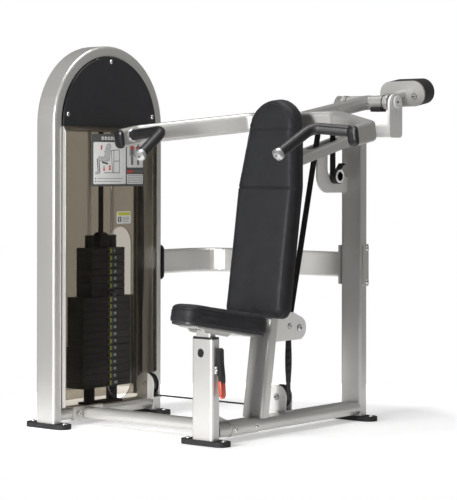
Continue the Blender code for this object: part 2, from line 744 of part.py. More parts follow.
def seat_outline(inset):
    """Saddle-like seat outline: narrow rounded nose, wide rounded rear."""
    nose = 0.050
    rear = 0.060
    front_y = -0.163
    back_y = 0.200
    nose_half = 0.072
    rear_half = 0.168
    points = arc((nose_half - nose, front_y + nose), nose - inset, -90, -18, 5)
    points += arc((rear_half - rear, back_y - rear), rear - inset, -18, 90, 7)
    points += arc((-(rear_half - rear), back_y - rear), rear - inset, 90, 198, 7)
    points += arc((-(nose_half - nose), front_y + nose), nose - inset, 198, 270, 5)
    return points


# ---------------------------------------------------------------- seat back
def lean_y(z):
    """Front face of the back tube at height z."""
    return BACK_TUBE_Y + BACK_LEAN * (z - (BASE_Z + BASE_H / 2))


def back_tube():
    low = BASE_Z + BASE_H / 2 + GAP
    across = TUBE_T * math.sqrt(1 + BACK_LEAN ** 2)
    rings = []
    for z in (low, BACK_TUBE_TOP):
        y = lean_y(z) + across / 2
        rings.append([Vector((px, y + py * across / TUBE_T, z)) for px, py in TUBE])
    tube = loft("back_tube", rings, "silver_paint")
    return tube


def pad_outline(inset):
    """Outline (X, height) of the back pad."""
    corner = 0.035
    low = PAD_BOTTOM + inset
    half = PAD_HALF - inset
    right = arc((half - corner, low + corner), corner, -90, 0, 4)
    right += [(half, PAD_SEAM)]
    right += arc((0.0, PAD_TAPER_TOP), PAD_HALF_TOP - inset, 0, 90, 10)
    left = [(-x, z) for x, z in reversed(right[:-1])]
    return right + left


def back_pad():
    """Plain solid of the leaning cushion, front edges eased, flat board side at the rear."""
    rings = []
    rear = PAD_THICK + 0.0006
    for depth, inset in ((0.0, 0.024), (0.006, 0.009), (0.022, 0.0), (PAD_THICK, 0.0)):
        ring = []
        for x, z in pad_outline(inset):
            ring.append(Vector((x, lean_y(z) - rear + depth, z)))
        rings.append(ring)
    loft("back_pad", rings, "upholstery")


def idler_parts():
    """Two cheeks behind the back tube, tied by a block, with the belt's idler between them."""
    outline = [(0.395, 0.366), (0.590, 0.366)]
    outline += arc((IDLER.y, IDLER.z), 0.046, -60, 60, 8)
    outline += [(0.540, 0.478), (0.395, 0.478)]
    rear = TUBE_T * math.sqrt(1 + BACK_LEAN ** 2) + GAP
    block = box("idler_bracket", (-0.0245, 0.395, 0.372), (0.0245, 0.445, 0.452))
    for side in (-1, 1):
        x = side * 0.0215
        weld(block, prism("cheek", outline, facing_x(x - 0.003), 0.006, "silver_paint"))
    spacer = rod("spacer", (-0.022, 0.515, 0.424), (0.022, 0.515, 0.424), 0.011, "silver_paint", 16)
    weld(block, spacer)
    trim = [(lean_y(0.30) + rear, 0.30), (lean_y(0.60) + rear, 0.60), (0.2, 0.60), (0.2, 0.30)]
    cut(block, prism("tube_side", trim, facing_x(-0.1), 0.2, "silver_paint"))
    pulley("idler_pulley", IDLER, (1, 0, 0), IDLER_R)


def pulley_bracket(name, centre, floor, near_x, far_x):
    """Two round cheeks either side of a low pulley, on a foot plate."""
    wall = 0.004
    foot_z = floor + GAP
    plate = box(name, (near_x, BELT_RUN_Y - 0.030, foot_z), (far_x, BELT_RUN_Y + 0.030, foot_z + 0.006))
    for side in (-1, 1):
        y = BELT_RUN_Y + side * (PULLEY_WIDTH / 2 + 0.002 + wall / 2)
        outline = [(foot_z + 0.003, near_x + 0.004), (foot_z + 0.003, far_x - 0.004)]
        outline += [(z, x) for x, z in arc((centre, LOW_PULLEY_Z), 0.050, 0, 180, 16)]
        weld(plate, prism("cheek", outline, facing_y(y - wall / 2), wall, "silver_paint"))
    return plate


def low_pulleys():
    run = PULLEY_R + BELT_T / 2 + GAP
    floor = BASE_Z + BASE_H / 2
    tower_x = TOWER_X + run
    pulley_bracket("tower_pulley_bracket", tower_x, floor, tower_x - 0.046, tower_x + 0.050)
    pulley("tower_low_pulley", (tower_x, BELT_RUN_Y, LOW_PULLEY_Z), (0, 1, 0), PULLEY_R)
    pulley_bracket("seat_pulley_bracket", -run, floor, -run - 0.049, -run + 0.050)
    pulley("seat_low_pulley", (-run, BELT_RUN_Y, LOW_PULLEY_Z), (0, 1, 0), PULLEY_R)


# ---------------------------------------------------------------- rear structure
def strut_middle(y):
    """Centre height of the top strut."""
    return 1.0935 + 0.245 * (y - 0.594)


def rear_upright():
    """Rear post, its top sloped to the underside of the strut."""
    centre = UPRIGHT_Y + TUBE_T / 2
    outline = place_outline(TUBE, 0.0, centre)
    low = [Vector((x, y, FOOT_H + GAP)) for x, y in outline]
    high = [Vector((x, y, strut_middle(y) - STRUT_T / 2 - GAP)) for x, y in outline]
    loft("rear_upright", [low, high], "silver_paint")
    foot("upright_foot", 0.0, centre)


def strut():
    """Flat tube from the back tube to the crosshead, slotted where the belt goes through."""
    start_y = lean_y(1.075) + TUBE_T * math.sqrt(1 + BACK_LEAN ** 2) + 0.001
    end_y = CROSSHEAD_Y[0] - GAP
    outline = rounded_rect(TUBE_W, STRUT_T, 0.010)
    rings = []
    for y, lean in ((start_y, BACK_LEAN), (end_y, 0.0)):
        ring = []
        for x, z in outline:
            height = strut_middle(y) + z
            ring.append(Vector((x, y + lean * z, height)))
        rings.append(ring)
    tube = loft("top_strut", rings, "silver_paint")
    outline = place_outline(rounded_rect(0.037, 0.190, 0.0184, 6), 0.0, 0.767)
    return cut(tube, prism("belt_slot", outline, flat(1.0), 0.3, "silver_paint"))


CROSSHEAD_Y = (1.0385, 1.1285)
CROSSHEAD_Z = (1.189, 1.241)
EAR_X = 0.1405


def crosshead():
    """Box beam across the top of the upright with an ear plate at each end for the pivot."""
    outline = place_outline(rounded_rect(CROSSHEAD_Y[1] - CROSSHEAD_Y[0],
                                         CROSSHEAD_Z[1] - CROSSHEAD_Z[0], 0.008, 3),
                            sum(CROSSHEAD_Y) / 2, sum(CROSSHEAD_Z) / 2)
    beam = prism("crosshead", outline, facing_x(-EAR_X - 0.001), 2 * EAR_X + 0.002, "silver_paint")
    half = 0.047
    for side in (-1, 1):
        ear = arc((PIVOT.y + half - 0.040, PIVOT.z - 0.007), 0.040, 0, 90, 6)
        ear += arc((PIVOT.y - half + 0.040, PIVOT.z - 0.007), 0.040, 90, 180, 6)
        ear += arc((PIVOT.y - half + 0.018, 1.186 + 0.018), 0.018, 180, 270, 4)
        ear += arc((PIVOT.y + half - 0.018, 1.186 + 0.018), 0.018, 270, 360, 4)
        x = side * (EAR_X + 0.004) - 0.005
        weld(beam, prism("ear", ear, facing_x(x), 0.010, "silver_paint"))
    bore = rod("bore", (-0.2, PIVOT.y, PIVOT.z), (0.2, PIVOT.y, PIVOT.z), 0.0128, "silver_paint")
    cut(beam, bore)
    return beam


def pivot_shaft():
    """Through shaft with a large round cap at each end."""
    end = EAR_X + 0.0095
    profile = [(-end - 0.007, 0.0), (-end - 0.007, 0.024), (-end - 0.004, 0.030),
               (-end, 0.030), (-end, 0.0125), (end, 0.0125), (end, 0.030),
               (end + 0.004, 0.030), (end + 0.007, 0.024), (end + 0.007, 0.0)]
    turned("pivot_shaft", profile, PIVOT, (1, 0, 0), "chrome", 36)


def brace():
    """Side brace: plate on the tower, tube curving round to the upright, clamp plate."""
    centre_y = UPRIGHT_Y + TUBE_T / 2
    start = TOWER_Y + TOWER_HALF + GAP
    z = 0.651
    end_x = -TUBE_W / 2 - 0.006
    corners = [(TOWER_X, start + 0.004, z), (TOWER_X, centre_y, z), (end_x, centre_y, z)]
    path = rounded_path(corners, [0.135], 10)
    tube = sweep("side_brace", TUBE_ON_EDGE, path, (0, 0, 1), "silver_paint")
    plate = rounded_rect(0.168, 0.080, 0.034, 5)
    flange = prism("flange", place_outline(plate, 0.654, TOWER_X), facing_y(start), 0.007,
                   "silver_paint")
    clamp = box("clamp", (-TUBE_W / 2 - 0.0085, UPRIGHT_Y - 0.006, 0.569),
                (-TUBE_W / 2 - GAP, UPRIGHT_Y + TUBE_T + 0.006, 0.733))
    return weld(tube, flange, clamp)


def anchor():
    """J plate from the strut to the upright, with the tube that the belt end wraps."""
    outline = [(0.756, 1.120), (0.756, 1.023)]
    outline += arc((0.824, 1.023), 0.068, 180, 270, 8)
    outline += [(UPRIGHT_Y - GAP, 0.955), (UPRIGHT_Y - GAP, 1.0215), (0.860, 1.0215)]
    outline += arc((0.858, 1.0535), 0.032, 270, 180, 6)
    outline += [(0.826, 1.128)]
    plate = prism("belt_anchor", outline, facing_x(-0.024), 0.008, "silver_paint")
    tube = rod("tube", (-0.020, ANCHOR.y, ANCHOR.z), (0.0145, ANCHOR.y, ANCHOR.z), ANCHOR_R,
               "silver_paint", 24)
    weld(plate, tube)
    slab = [(y, strut_middle(y) - STRUT_T / 2 - GAP) for y in (0.70, 0.98)]
    slab += [(0.98, 1.3), (0.70, 1.3)]
    cutter = prism("strut_side", slab, facing_x(-0.1), 0.2, "silver_paint")
    return cut(plate, cutter)


# ---------------------------------------------------------------- press arm
def arm_place(point):
    return Vector(arm_to_seat_frame(point))


def press_arm():
    """Yoke, lever beam, pivot tube, tail rod and counterweight plate, welded into one."""
    up = Matrix.Rotation(ARM_TILT, 3, "X") @ Vector((0, 0, 1))
    corners = [(-0.583, -0.9265), (-0.583, -0.8130), (-0.218, -0.5160), (0.218, -0.5160),
               (0.583, -0.8130), (0.583, -0.9265)]
    corners = [arm_place((x, y, 0.0)) for x, y in corners]
    path = rounded_path(corners, [0.050, 0.070, 0.070, 0.050], 6)
    arm = sweep("press_arm", rounded_rect(YOKE_W, YOKE_H, 0.016), path, up, "silver_paint",
                tuple(PIVOT))
    place = frame_axes(arm_place((0.0, 0.015, 0.002)), (1, 0, 0), up)
    beam = prism("beam", rounded_rect(0.045, 0.056, 0.010), place, 0.535, "silver_paint")
    tube = rod("tube", (-0.106, PIVOT.y, PIVOT.z), (0.106, PIVOT.y, PIVOT.z), 0.030,
               "silver_paint", 32)
    tail = rod("tail", arm_place((0, 0.0, 0)), arm_place((0, 0.272, 0)), 0.018, "silver_paint")
    plate_place = frame_axes(arm_place((0, 0.278, 0)), (1, 0, 0), up)
    plate = prism("plate", rounded_rect(0.230, 0.112, 0.056, 10), plate_place, 0.008, "silver_paint")
    weld(arm, beam, tube, tail, plate)
    lug_outline = rounded_rect(0.052, 0.052, 0.020, 4)
    for side in (-1, 1):
        x = side * 0.0235
        shape = place_outline(lug_outline, ARM_PULLEY.y, ARM_PULLEY.z + 0.006)
        rings = [[arm_place((x + dx, y, z)) for y, z in shape] for dx in (-0.003, 0.003)]
        weld(arm, loft("lug", rings, "silver_paint"))
    slot = [(-0.0185, -0.062), (0.0185, -0.062), (0.0185, 0.062), (-0.0185, 0.062)]
    rings = [[arm_place((x, ARM_PULLEY.y + y, z)) for x, y in slot] for z in (-0.20, 0.020)]
    cut(arm, loft("slot", rings, "silver_paint"))
    bore = rod("bore", (-0.2, PIVOT.y, PIVOT.z), (0.2, PIVOT.y, PIVOT.z), 0.0130, "silver_paint")
    return cut(arm, bore)


def counterweight():
    up = Matrix.Rotation(ARM_TILT, 3, "X") @ Vector((0, 0, 1))
    place = frame_axes(arm_place((0, 0.352, 0)), (1, 0, 0), up)
    prism("counterweight", rounded_rect(0.230, 0.112, 0.056, 10), place, 0.0737, "black_steel",
          tuple(PIVOT))


def end_cap(name, side):
    """Domed plug on a yoke end."""
    rings = []
    shapes = ((GAP, 1.0), (0.006, 1.0), (0.011, 0.90), (0.0145, 0.70), (0.016, 0.40))
    outline = rounded_rect(YOKE_W + 0.001, YOKE_H + 0.001, 0.018)
    for depth, size in shapes:
        rings.append([arm_place((side * 0.583 + x * size, -0.9265 - depth, z * size))
                      for x, z in outline])
    loft(name, rings, "black_plastic", tuple(PIVOT))


def grip_path(side):
    """Grip centre line: inward from the yoke end, then forward and down."""
    inner = 0.583 - YOKE_W / 2 - GAP
    corners = [Vector((side * inner, 0.2230, 1.1900)), Vector((side * 0.3730, 0.1980, 1.2070)),
               Vector((side * 0.3430, 0.0290, 1.1060))]
    return rounded_path(corners, [0.050], 8)


def grip(name, side):
    """Bent rubber grip whose first ring lies flat on the yoke's inner side."""
    path = grip_path(side)
    rings = []
    for i, point in enumerate(path):
        before = path[max(i - 1, 0)]
        after = path[min(i + 1, len(path) - 1)]
        tangent = (after - before).normalized() if i else Vector((-side, 0, 0))
        across = tangent.cross(Vector((0, 0, 1))).normalized()
        lift = across.cross(tangent).normalized()
        rings.append([point + across * x + lift * y for x, y in circle(GRIP_R, 20)])
    return loft(name, rings, "rubber", tuple(PIVOT))


def arm_pulley():
    centre = arm_place(ARM_PULLEY)
    pulley("arm_pulley", centre, (1, 0, 0), ARM_PULLEY_R, axle=0.0030)


# ---------------------------------------------------------------- build
def build():
    tower_frame()
    tower_floor_parts()
    shrouds()
    dome_cover("outer_dome_cover", TOWER_X + TUBE_W / 2 - 0.012, 0.018)
    dome_cover("inner_dome_cover", TOWER_X - TUBE_W / 2 - 0.006, 0.018)
    crossmember()
    top_pulleys()
    guide_rods()
    stack_bumpers()
    weight_plates()
    head_plate()
    selector()
    low_pulleys()
    crossbar()
    base_tube()
    seat_post()
    seat_lever()
    seat()
    back_tube()
    back_pad()
    idler_parts()
    rear_upright()
    strut()
    crosshead()
    pivot_shaft()
    brace()
    anchor()
    press_arm()
    counterweight()
    end_cap("left_end_cap", 1)
    end_cap("right_end_cap", -1)
    grip("left_grip", 1)
    grip("right_grip", -1)
    arm_pulley()
    belts()


build()
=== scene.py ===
"""Looks of the shoulder press machine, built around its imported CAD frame."""
import json
import math

import bmesh
import bpy
from mathutils import Matrix, Vector


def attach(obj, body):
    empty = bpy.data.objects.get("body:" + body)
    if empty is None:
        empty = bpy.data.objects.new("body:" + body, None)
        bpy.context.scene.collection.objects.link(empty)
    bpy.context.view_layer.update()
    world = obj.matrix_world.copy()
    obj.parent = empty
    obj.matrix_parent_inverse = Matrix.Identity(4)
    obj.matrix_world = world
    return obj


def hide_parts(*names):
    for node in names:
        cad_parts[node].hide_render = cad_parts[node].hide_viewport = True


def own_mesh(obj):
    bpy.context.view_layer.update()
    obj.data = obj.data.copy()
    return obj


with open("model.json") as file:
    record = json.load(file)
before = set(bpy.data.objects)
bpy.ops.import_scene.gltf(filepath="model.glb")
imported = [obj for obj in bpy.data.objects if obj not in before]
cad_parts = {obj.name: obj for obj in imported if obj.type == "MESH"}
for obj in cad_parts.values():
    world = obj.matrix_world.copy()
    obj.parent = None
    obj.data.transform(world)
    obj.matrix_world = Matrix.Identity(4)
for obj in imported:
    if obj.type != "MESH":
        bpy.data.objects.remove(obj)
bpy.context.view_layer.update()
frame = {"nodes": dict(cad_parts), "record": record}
SCENE = bpy.context.scene

# Places below are in the seat-centred frame: its origin is on the floor under the seat post.
SHIFT = Vector((0.1535, -0.6495, 0.0))
TOWER_X = -0.801
TOWER_Y = 0.290
TUBE_W = 0.104
TUBE_T = 0.047
POST_Y = 0.0235  # middle of the seat post
PIVOT = Vector((0.0, 1.0845, 1.335))
ARM_TILT = math.radians(10.0)
SEAT_TILT = math.radians(10.4)
SEAT_ROOT = Vector((0.0, POST_Y, 0.4415))
CROSSBAR_BOLT_Y = 0.108
BASE_BOLT_Z = 0.0495  # bolts through the tubes on the floor
BRACE_Z = 0.651  # middle of the side brace
ANCHOR_Y = 0.8685  # middle of the belt anchor's tube
ANCHOR_Z = 1.0233

PLATES = 20
FIRST_LIFTED = 13  # plates from here up ride the stack
PLATE_PITCH = 0.029
STACK_BOTTOM = 0.144
LABEL_Z = 0.01415  # middle of a label above its plate's underside
BELT_LOW = 0.7765
BELT_TOP = 1.2995

BACK_LEAN = 0.157
BACK_TUBE_Y = 0.304  # the back tube's front face at the base tube
BACK_TUBE_Z = 0.0745
PAD_LOW = 0.468
PAD_HALF = 0.148
PAD_TOP_HALF = 0.121
PAD_SEAM_Z = 0.979
PAD_ROUND_Z = 1.208  # centre of the pad's round top
PAD_TOP_SEAM_Z = 1.213

SHROUD_HALF = 0.2775  # half width of a bowed sheet
SHROUD_OUT = 0.0665  # its edge, from the tower's middle plane
SHROUD_BOW = 0.046
SHROUD_TOP = 1.2245
COVER_CENTRE_Z = 1.236  # centre of the arch and its round covers
COVER_RADIUS = 0.2800

CUSHION_FRAMES = 20
CUSHION_CLOTH = {
    "quality": 5, "mass": 0.3, "tension_stiffness": 20, "compression_stiffness": 20,
    "shear_stiffness": 12, "bending_stiffness": 1.5, "use_pressure": True,
    "uniform_pressure_force": 4.0,
}
CUSHION_CAP = 0.006  # most that a cushion may swell
SOFT_RAMP = 0.020  # height over which a cushion comes free of its board

SHARP_ANGLE = 33  # degrees; flatter edges are shaded smooth
BEVEL_ANGLE = math.radians(40)

FLOOR_RADIUS = 1.55
FLOOR_GLOW_SCALE = 0.645  # the glow reaches its full strength at the floor's rim
CAMERA_PLACE = (4.7606, -6.1170, 1.0395)
CAMERA_AZIMUTH = math.radians(39.32)
CAMERA_ROLL = math.radians(0.10)
CAMERA_LENS = 135.31
CAMERA_SHIFT_Y = -0.1556


def at(x, y, z):
    """World place of a point in the seat-centred frame."""
    return Vector((x, y, z)) + SHIFT


def arm_at(x, y, z):
    """World place of a point on the arm: origin at the pivot, Y along the beam."""
    return PIVOT + Matrix.Rotation(ARM_TILT, 3, "X") @ Vector((x, y, z)) + SHIFT


def seat_at(x, y, z):
    """World place of a point on the seat: origin on the seat plate, Z square to it."""
    return SEAT_ROOT + Matrix.Rotation(-SEAT_TILT, 3, "X") @ Vector((x, y, z)) + SHIFT


def lean_y(z):
    """Y of the back tube's front face at a height."""
    return BACK_TUBE_Y + BACK_LEAN * (z - BACK_TUBE_Z)


def share(value, start, width):
    """0 up to start, 1 past start + width, in between in proportion."""
    return min(max((value - start) / width, 0.0), 1.0)


# ---- materials
class Nodes:
    """Short hand for building a Principled material."""

    def __init__(self, name, colour, roughness, metallic=0.0):
        self.material = bpy.data.materials.new(name)
        self.material.use_nodes = True
        self.tree = self.material.node_tree
        self.shader = self.tree.nodes["Principled BSDF"]
        self.shader.inputs["Base Color"].default_value = (*colour, 1)
        self.shader.inputs["Roughness"].default_value = roughness
        self.shader.inputs["Metallic"].default_value = metallic
        self.colour = colour
        self.add = self.tree.nodes.new
        self.link = self.tree.links.new
        self.coords = self.add("ShaderNodeTexCoord").outputs["Object"]
        self.normal = None

    def set(self, **values):
        """Shader inputs by name, with underscores for spaces."""
        for key, value in values.items():
            self.shader.inputs[key.replace("_", " ")].default_value = value

    def noise(self, scale, detail=3.0, roughness=0.5, stretch=None):
        coords = self.coords
        if stretch:
            mapping = self.add("ShaderNodeMapping")
            mapping.inputs["Scale"].default_value = stretch
            self.link(coords, mapping.inputs["Vector"])
            coords = mapping.outputs["Vector"]
        node = self.add("ShaderNodeTexNoise")
        node.inputs["Scale"].default_value = scale
        node.inputs["Detail"].default_value = detail
        node.inputs["Roughness"].default_value = roughness
        self.link(coords, node.inputs["Vector"])
        return node.outputs["Fac"]

    def voronoi(self, scale):
        node = self.add("ShaderNodeTexVoronoi")
        node.inputs["Scale"].default_value = scale
        self.link(self.coords, node.inputs["Vector"])
        return node.outputs["Distance"]

    def ramp(self, fac, low, high, first, second):
        node = self.add("ShaderNodeValToRGB")
        node.color_ramp.elements[0].position = low
        node.color_ramp.elements[1].position = high
        node.color_ramp.elements[0].color = first
        node.color_ramp.elements[1].color = second
        self.link(fac, node.inputs["Fac"])
        return node.outputs["Color"]

    def vary(self, fac, low, high, darker, lighter):
        """Colour varies between two multiples of the base colour."""
        first = (*[c * darker for c in self.colour], 1)
        second = (*[min(c * lighter, 1) for c in self.colour], 1)
        colour = self.ramp(fac, low, high, first, second)
        self.link(colour, self.shader.inputs["Base Color"])

    def rough(self, fac, low, high):
        """Roughness varies between two values."""
        node = self.add("ShaderNodeMapRange")
        node.inputs["To Min"].default_value = low
        node.inputs["To Max"].default_value = high
        self.link(fac, node.inputs["Value"])
        self.link(node.outputs["Result"], self.shader.inputs["Roughness"])

    def bump(self, height, strength, distance):
        """Bumps add up: each one is laid over the one before."""
        node = self.add("ShaderNodeBump")
        node.inputs["Strength"].default_value = strength
        node.inputs["Distance"].default_value = distance
        self.link(height, node.inputs["Height"])
        if self.normal:
            self.link(self.normal, node.inputs["Normal"])
        self.normal = node.outputs["Normal"]
        self.link(self.normal, self.shader.inputs["Normal"])


def silver(name, colour, roughness, metallic=0.65):
    """Metallic powder coat: fine flakes, slight orange peel and uneven sheen."""
    m = Nodes(name, colour, roughness, metallic)
    m.vary(m.noise(2600, 2), 0.35, 0.65, 0.90, 1.07)
    m.rough(m.noise(9, 4), roughness - 0.04, roughness + 0.05)
    m.bump(m.noise(420, 2), 0.10, 0.0004)
    m.set(Coat_Weight=0.45, Coat_Roughness=0.16)
    return m.material


def black_paint(name, colour, roughness):
    """Black powder coat with a fine grain."""
    m = Nodes(name, colour, roughness)
    m.vary(m.noise(60, 4), 0.3, 0.7, 0.85, 1.25)
    m.rough(m.noise(25, 3), roughness - 0.05, roughness + 0.08)
    m.bump(m.noise(900, 2), 0.16, 0.0004)
    return m.material


def plastic(name, colour, roughness, grain=1200):
    """Moulded plastic with a spark-eroded grain."""
    m = Nodes(name, colour, roughness)
    m.vary(m.noise(30, 3), 0.3, 0.7, 0.9, 1.15)
    m.rough(m.noise(14, 4), roughness - 0.04, roughness + 0.07)
    m.bump(m.voronoi(grain), 0.12, 0.0002)
    return m.material


def vinyl(name, colour):
    """Upholstery vinyl: pebbled grain, soft sheen, faint stretch mottling."""
    m = Nodes(name, colour, 0.52)
    m.vary(m.noise(18, 5, 0.6), 0.3, 0.7, 0.82, 1.25)
    m.rough(m.noise(40, 3), 0.44, 0.62)
    m.bump(m.voronoi(620), 0.30, 0.0005)
    m.bump(m.noise(26, 3), 0.12, 0.003)
    m.set(Sheen_Weight=0.05, Sheen_Roughness=0.5, Specular_IOR_Level=0.22)
    return m.material


def rubber(name, colour, roughness):
    """Matt rubber, dusty in places."""
    m = Nodes(name, colour, roughness)
    m.vary(m.noise(45, 4), 0.3, 0.7, 0.8, 1.35)
    m.rough(m.noise(30, 3), roughness - 0.06, roughness + 0.12)
    m.bump(m.noise(1100, 2), 0.25, 0.0004)
    return m.material


def chrome(name):
    """Polished plate with faint wipe marks."""
    m = Nodes(name, (0.82, 0.82, 0.83), 0.10, 1.0)
    m.rough(m.noise(35, 4), 0.06, 0.15)
    m.vary(m.noise(12, 2), 0.3, 0.7, 0.96, 1.03)
    return m.material


def zinc(name):
    """Dull bright plate of bolts and washers."""
    m = Nodes(name, (0.70, 0.70, 0.69), 0.26, 1.0)
    m.rough(m.noise(120, 3), 0.20, 0.34)
    m.vary(m.noise(60, 2), 0.3, 0.7, 0.9, 1.08)
    return m.material


def tinted(name, colour):
    """Smoked clear sheet: light passes, tinted at each face, with faint smears on the gloss."""
    m = Nodes(name, colour, 0.06)
    m.vary(m.noise(3.5, 4, 0.6, (1, 1, 0.35)), 0.3, 0.7, 0.97, 1.03)
    m.rough(m.noise(7, 5, 0.65), 0.03, 0.11)
    m.bump(m.noise(4, 2), 0.02, 0.002)
    m.set(Transmission_Weight=1.0, IOR=1.12)
    return m.material


def belt_web(name):
    """Coated belt with fine lengthwise cords."""
    m = Nodes(name, (0.0035, 0.0035, 0.0040), 0.6)
    m.vary(m.noise(200, 3), 0.3, 0.7, 0.7, 1.5)
    m.rough(m.noise(50, 2), 0.42, 0.62)
    m.bump(m.noise(160, 2, 0.5, (6, 6, 0.4)), 0.35, 0.0005)
    return m.material


def printed(name, colour, roughness=0.38):
    """Flat ink under a clear film."""
    m = Nodes(name, colour, roughness)
    m.vary(m.noise(70, 3), 0.3, 0.7, 0.96, 1.03)
    m.rough(m.noise(20, 3), roughness - 0.05, roughness + 0.08)
    return m.material


SILVER = silver("silver_coat", (0.56, 0.55, 0.53), 0.37)
BRACKET = silver("bracket_coat", (0.78, 0.77, 0.75), 0.48, 0.22)
BLACK_STEEL = black_paint("black_powder_coat", (0.018, 0.018, 0.020), 0.42)
BLACK_PLASTIC = plastic("black_moulding", (0.011, 0.011, 0.012), 0.32)
DOME = plastic("dome_panel", (0.014, 0.0148, 0.018), 0.42, 900)
VINYL = vinyl("charcoal_vinyl", (0.0095, 0.0098, 0.0118))
BOARD = plastic("backing_board", (0.016, 0.016, 0.018), 0.5, 500)
FOOT = rubber("foot_rubber", (0.005, 0.005, 0.006), 0.68)
GRIP = rubber("grip_rubber", (0.010, 0.010, 0.011), 0.38)
CHROME = chrome("polished_chrome")
ZINC = zinc("zinc_plate")
ROD = silver("ground_rod", (0.80, 0.80, 0.80), 0.30, 0.5)
MACHINED = silver("machined_face", (0.97, 0.97, 0.97), 0.45, 0.10)
GRIP_CAP = silver("grip_end_cap", (0.50, 0.50, 0.50), 0.33, 0.75)
TINT = tinted("tinted_sheet", (0.435, 0.405, 0.355))
BELT = belt_web("drive_belt")
RED = plastic("red_grip", (0.48, 0.060, 0.030), 0.34, 700)
PRINT_GREY = printed("print_dark_grey", (0.075, 0.075, 0.078))
PRINT_WHITE = printed("print_white", (0.72, 0.72, 0.71))
PRINT_MID = printed("print_mid_grey", (0.14, 0.14, 0.145))
PRINT_LIGHT = printed("print_light_grey", (0.46, 0.46, 0.47))
PRINT_BLACK = printed("print_black", (0.02, 0.02, 0.022))
PRINT_RED = printed("print_red", (0.55, 0.055, 0.035))
PRINT_YELLOW = printed("print_yellow", (0.50, 0.50, 0.03))
PRINT_GREEN = printed("print_green", (0.02, 0.13, 0.09))
# Near-black used as painted shade in holes, sockets and a tube's open end, and as a painted shadow
# ring round hex washers.
PAINTED_SHADE = plastic("painted_shade_black", (0.0015, 0.0015, 0.0015), 0.9)

CAD_LOOKS = {
    "silver_paint": SILVER, "black_plastic": BLACK_PLASTIC, "tinted_panel": TINT,
    "dark_panel": DOME, "black_steel": BLACK_STEEL, "chrome": CHROME, "rubber": FOOT,
    "belt": BELT, "upholstery": VINYL,
}
EASE = 0.0007  # softened edge of a CAD node that EASED doesn't name
EASED = {"left_end_cap": 0.007, "right_end_cap": 0.007, "counterweight": 0.004,
         "tower_front_foot": 0.003, "tower_rear_foot": 0.003, "seat_post_foot": 0.003,
         "upright_foot": 0.003, "outer_shroud": 0.0, "inner_shroud": 0.0}
BRACKETS = ("belt_anchor", "idler_bracket", "seat_pulley_bracket", "tower_pulley_bracket",
            "crosshead", "tower_crossmember")


def dress_cad():
    """Give every CAD node its finish, smooth shading and a small softened edge."""
    slots = {s["node"]: s["material_slot"] for s in frame["record"]["subparts"]}
    for name, obj in frame["nodes"].items():
        obj.data.materials.clear()
        look = BRACKET if name in BRACKETS else CAD_LOOKS[slots[name]]
        if name.endswith("_grip"):
            look = GRIP
        elif name.endswith("_guide_rod"):
            look = ROD
        obj.data.materials.append(look)
        custom = obj.data.attributes.get("custom_normal")
        if custom:
            obj.data.attributes.remove(custom)
        obj.data.shade_smooth()
        obj.data.set_sharp_from_angle(angle=math.radians(SHARP_ANGLE))
        ease(obj, EASED.get(name, EASE))


def bevel_edges(obj, width, segments):
    modifier = obj.modifiers.new("edge", "BEVEL")
    modifier.width = width
    modifier.segments = segments
    modifier.limit_method = "ANGLE"
    modifier.angle_limit = BEVEL_ANGLE


def ease(obj, width):
    """Round the sharp edges a little and keep large faces flat in the shading."""
    if width:
        bevel_edges(obj, width, 3 if width > 0.002 else 1)
    modifier = obj.modifiers.new("shading", "WEIGHTED_NORMAL")
    modifier.keep_sharp = True


# ---- mesh helpers
def arc(centre, radius, start, end, steps):
    """Points of an arc between two angles in degrees."""
    points = []
    for i in range(steps + 1):
        a = math.radians(start + (end - start) * i / steps)
        points.append((centre[0] + radius * math.cos(a), centre[1] + radius * math.sin(a)))
    return points


def rounded_rect(width, height, radius, steps=5):
    x = width / 2 - radius
    y = height / 2 - radius
    points = []
    for cx, cy, start in ((x, y, 0), (-x, y, 90), (-x, -y, 180), (x, -y, 270)):
        points += arc((cx, cy), radius, start, start + 90, steps)
    return points


def axes(origin, x_axis, y_axis):
    """Matrix that lays local X and Y along two directions."""
    x_axis = Vector(x_axis).normalized()
    y_axis = Vector(y_axis).normalized()
    matrix = Matrix((x_axis, y_axis, x_axis.cross(y_axis))).transposed().to_4x4()
    return Matrix.Translation(origin) @ matrix


FACING_X = axes((0, 0, 0), (0, 1, 0), (0, 0, 1))


